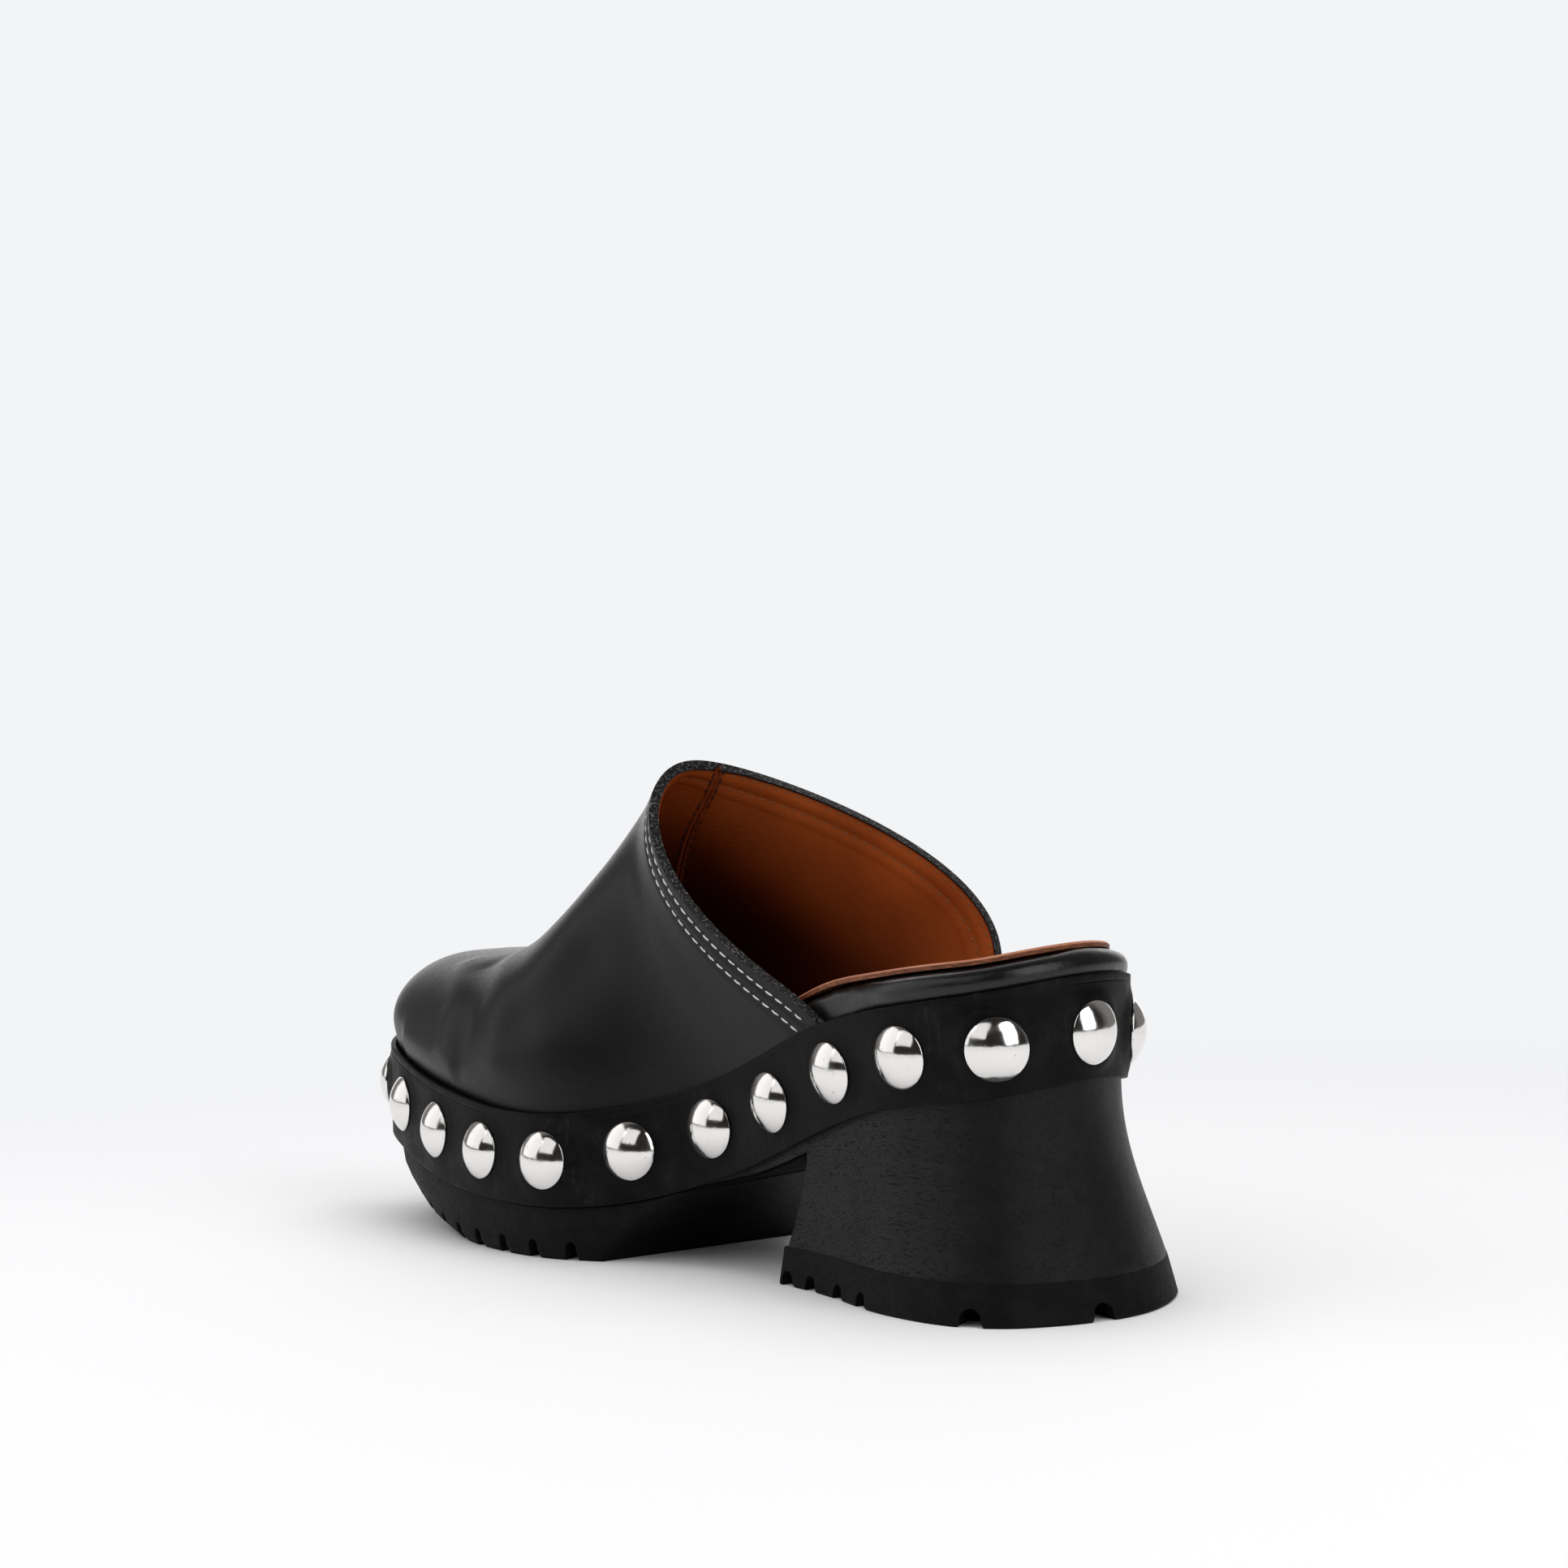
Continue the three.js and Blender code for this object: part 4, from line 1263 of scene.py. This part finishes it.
# %% Painted edge
edge_paint = new_finish("edge_paint")
crumbs = noise(0.7, 6.0, 0.75)
shade(mottle(crumbs, 0.50, 0.66, (0.003, 0.003, 0.0035), (0.14, 0.135, 0.13)), 0.6, 0.3, (crumbs, 0.5))
dress(upper, smooth_leather, edge_paint)

# %% [markdown]
# The lining is dry tan leather, with painted shade that makes it darker the further it lies from the
# collar. It is puckered by its seam, so small wrinkles are laid round the seam's upper end, and painted
# shade darkens the lining along the seam.

# %% Lining leather
seam_end = (0.097, -0.013, 0.103)
lining_leather = new_finish("lining_leather")
clouds = noise(22, 4.0)
grain = noise(0.55, 4.0, 0.6)
seam_distance = vector("DISTANCE", add("TexCoord").outputs["Object"], seam_end)["Value"]
near_seam = between(seam_distance, 0.004, 0.022, 1.0, 0.0)
wrinkled = times(noise(1.6, 2.0, stretch=(3.5, 1, 0.55)), near_seam)
tan = mottle(clouds, 0.3, 0.7, (0.20, 0.039, 0.0060), (0.27, 0.055, 0.0085))
# Painted shade: the lining darkens over 42 mm from the collar inward, where less light reaches.
painted_deep_shade = mottle(measure("from_collar"), 1, 42, tan, (0.036, 0.0055, 0.0009))
# Painted shade: a dark strip within about 2 mm of the seam, where its groove lies in shade.
painted_seam_shade = between(measure("from_seam"), 0.9, 2.0, 0.4, 0.0)
shaded_lining = blend(painted_seam_shade, painted_deep_shade, (0.045, 0.008, 0.002))
cut_edge = between(measure("from_collar"), 0.25, 0.75, 1.0, 0.0)
edged = blend(cut_edge, shaded_lining, (0.006, 0.005, 0.005))
dry = between(grain, 0.3, 0.7, 0.60, 0.72)
shade(edged, dry, 0.06, (clouds, 0.3), (wrinkled, 0.25), (grain, 0.05))
dress(lining, lining_leather, edge_paint)

# %% Seam ribbon
seam_finish = new_finish("seam_finish")
grain = noise(0.5, 4.0, 0.6)
shade(mottle(grain, 0.3, 0.7, (0.12, 0.022, 0.0035), (0.17, 0.033, 0.006)), 0.6, 0.15, (grain, 0.06))
dress(seam_ribbon, seam_finish)

# %% [markdown]
# The band's leather is thicker, waxed and handled: mottled, with faint scratches up and down it,
# duller round each dome, and with a pressed line under its upper edge.

# %% Band leather
band_finish = new_finish("band_finish")
clouds = noise(9, 7.0, 0.65, (1.4, 1.4, 1))
speckle = noise(0.9, 5.0, 0.7)
streaks = noise(1.3, 4.0, 0.6, (1, 1, 9))
scratched = between(times(streaks, clouds), 0.30, 0.42)
round_stud = between(measure("from_stud"), 6.8, 11.0, 1.0, 0.0)
mottled = between(clouds, 0.38, 0.66)
black = blend(mottled, (0.0010, 0.0010, 0.0011), (0.0060, 0.0058, 0.0058))
dull = plus(plus(times(mottled, 0.14), times(scratched, 0.08)), times(round_stud, 0.08))
from_line = calc("ABSOLUTE", calc("SUBTRACT", measure("from_top"), 1.7))
line_press = between(from_line, 0.0, 0.45)
waxed = blend(times(scratched, 0.5), black, (0.020, 0.020, 0.020))
shade(waxed, plus(dull, 0.42), 0.09, (clouds, 0.35), (line_press, 0.12), (speckle, 0.05), (streaks, 0.05))
dress(band, band_finish)

# %% [markdown]
# The footbed is wrapped in glossy leather with a fine pebble. The insole is tan and sueded on top,
# and its cut edge, told by which way the face looks, shows darker fibres.

# %% Footbed and insole leather
glossy_leather = new_finish("glossy_leather")
pebbles = pattern("Voronoi", 0.95)
folds = noise(3.2, 3.0, stretch=(1, 1, 1.5))
gloss = between(folds, 0.3, 0.7, 0.25, 0.35)
shade((0.0035, 0.0034, 0.0036), gloss, 0.40, (folds, 0.04), (pebbles, 0.018))
dress(footbed, glossy_leather)

insole_finish = new_finish("insole_finish")
tilt = add("SeparateXYZ", Vector=add("NewGeometry").outputs["Normal"])
grain = noise(0.7, 4.0, 0.65)
clouds = noise(14, 4.0)
fibres = noise(0.5, 3.0, stretch=(4, 4, 0.5))
top = mottle(clouds, 0.3, 0.7, (0.42, 0.165, 0.090), (0.50, 0.215, 0.130))
raw = mottle(fibres, 0.35, 0.7, (0.11, 0.030, 0.010), (0.24, 0.080, 0.032))
cut = mottle(tilt.outputs["Z"], 0.45, 0.8, raw, top)
shade(cut, 0.55, 0.28, (clouds, 0.2), (grain, 0.06), (fibres, 0.08))
dress(insole, insole_finish)

# %% [markdown]
# The wood is stained black, so its figure shows as relief and gloss. Its pores are short dashes
# along the shoe. A pattern stretched along the grain gives dashes on the sides of the heel and dots
# on its back, where the fibres end, just as in sawn wood. The underside, where the faces look down,
# is painted darker as shade and left dull.

# %% Stained wood
stained_wood = new_finish("stained_wood")
growth = noise(3.2, 4.0, 0.6, (14, 1, 1))
pore = between(noise(0.30, 2.0, 0.6, (9, 1, 1)), 0.42, 0.33)
fine = noise(0.30, 5.0, 0.75, (7, 1, 1))
cloud = noise(18, 3.0)
black = mottle(growth, 0.3, 0.7, (0.0022, 0.0021, 0.0021), (0.0052, 0.0049, 0.0048))
pored = blend(pore, black, (0.0005, 0.0005, 0.0005))
oiled = plus(between(cloud, 0.3, 0.7, 0.36, 0.44), times(pore, 0.3))
shade(pored, oiled, 0.19, (growth, 0.10), (fine, 0.10), (calc("SUBTRACT", 1.0, pore), 0.10))

# Painted shade: the faces that look down get a darker black and a duller surface.
painted_underside_shade = new_finish("painted_underside_shade")
grain = noise(0.6, 4.0, 0.6, (9, 1, 1))
dark = mottle(grain, 0.3, 0.7, (0.0006, 0.0006, 0.0006), (0.0016, 0.0015, 0.0015))
shade(dark, 0.85, 0.05, (grain, 0.1))
dress(wooden_base, stained_wood, painted_underside_shade)
# Painted shade: faces that look down, above the lift, take the darker underside finish.
for face in wooden_base.data.polygons:
    face.material_index = int(face.normal.z < -0.6 and face.center.z > 12 * mm)

# %% [markdown]
# Moulded rubber is matt and takes up dust. Polished steel is a mirror with smears and tiny nicks.

# %% Rubber and steel
moulded_rubber = new_finish("moulded_rubber")
texture = noise(0.8, 5.0, 0.7)
dust = noise(7, 5.0, 0.65)
dusty = mottle(dust, 0.4, 0.7, (0.0028, 0.0028, 0.0029), (0.0060, 0.0058, 0.0057))
shade(dusty, between(texture, 0.3, 0.7, 0.52, 0.68), 0.10, (dust, 0.2), (texture, 0.09))
dress(heel_lift, moulded_rubber)
dress(outsole, moulded_rubber)

polished_steel = new_finish("polished_steel")
smear = noise(3.5, 3.0)
nick = between(noise(1.1, 3.0, 0.7, (1, 1, 2.2)), 0.66, 0.74)
nicked = blend(nick, (0.82, 0.805, 0.785), (0.40, 0.38, 0.36))
polish = plus(between(smear, 0.4, 0.7, 0.11, 0.18), times(nick, 0.15))
shade(nicked, polish, 0.5, (smear, 0.05), (nick, 0.02), metallic=1.0)
for one in studs:
    dress(one, polished_steel)

# %% [markdown]
# Thread is twisted, so it is mottled finely: white on the upper, tan and brown inside.

# %% Threads
for rows, name, colour in (
    (white_rows, "white_thread", (0.82, 0.81, 0.78)),
    (lining_rows, "tan_thread", (0.20, 0.070, 0.022)),
    (seam_rows, "brown_thread", (0.020, 0.005, 0.002)),
):
    thread = new_finish(name)
    twist = noise(0.3, 2.0)
    shade(mottle(twist, 0.3, 0.7, tuple(c * 0.7 for c in colour), colour), 0.7, 0.3, (twist, 0.08))
    for row in rows:
        dress(row, thread)
print("finishes:", len(bpy.data.materials))
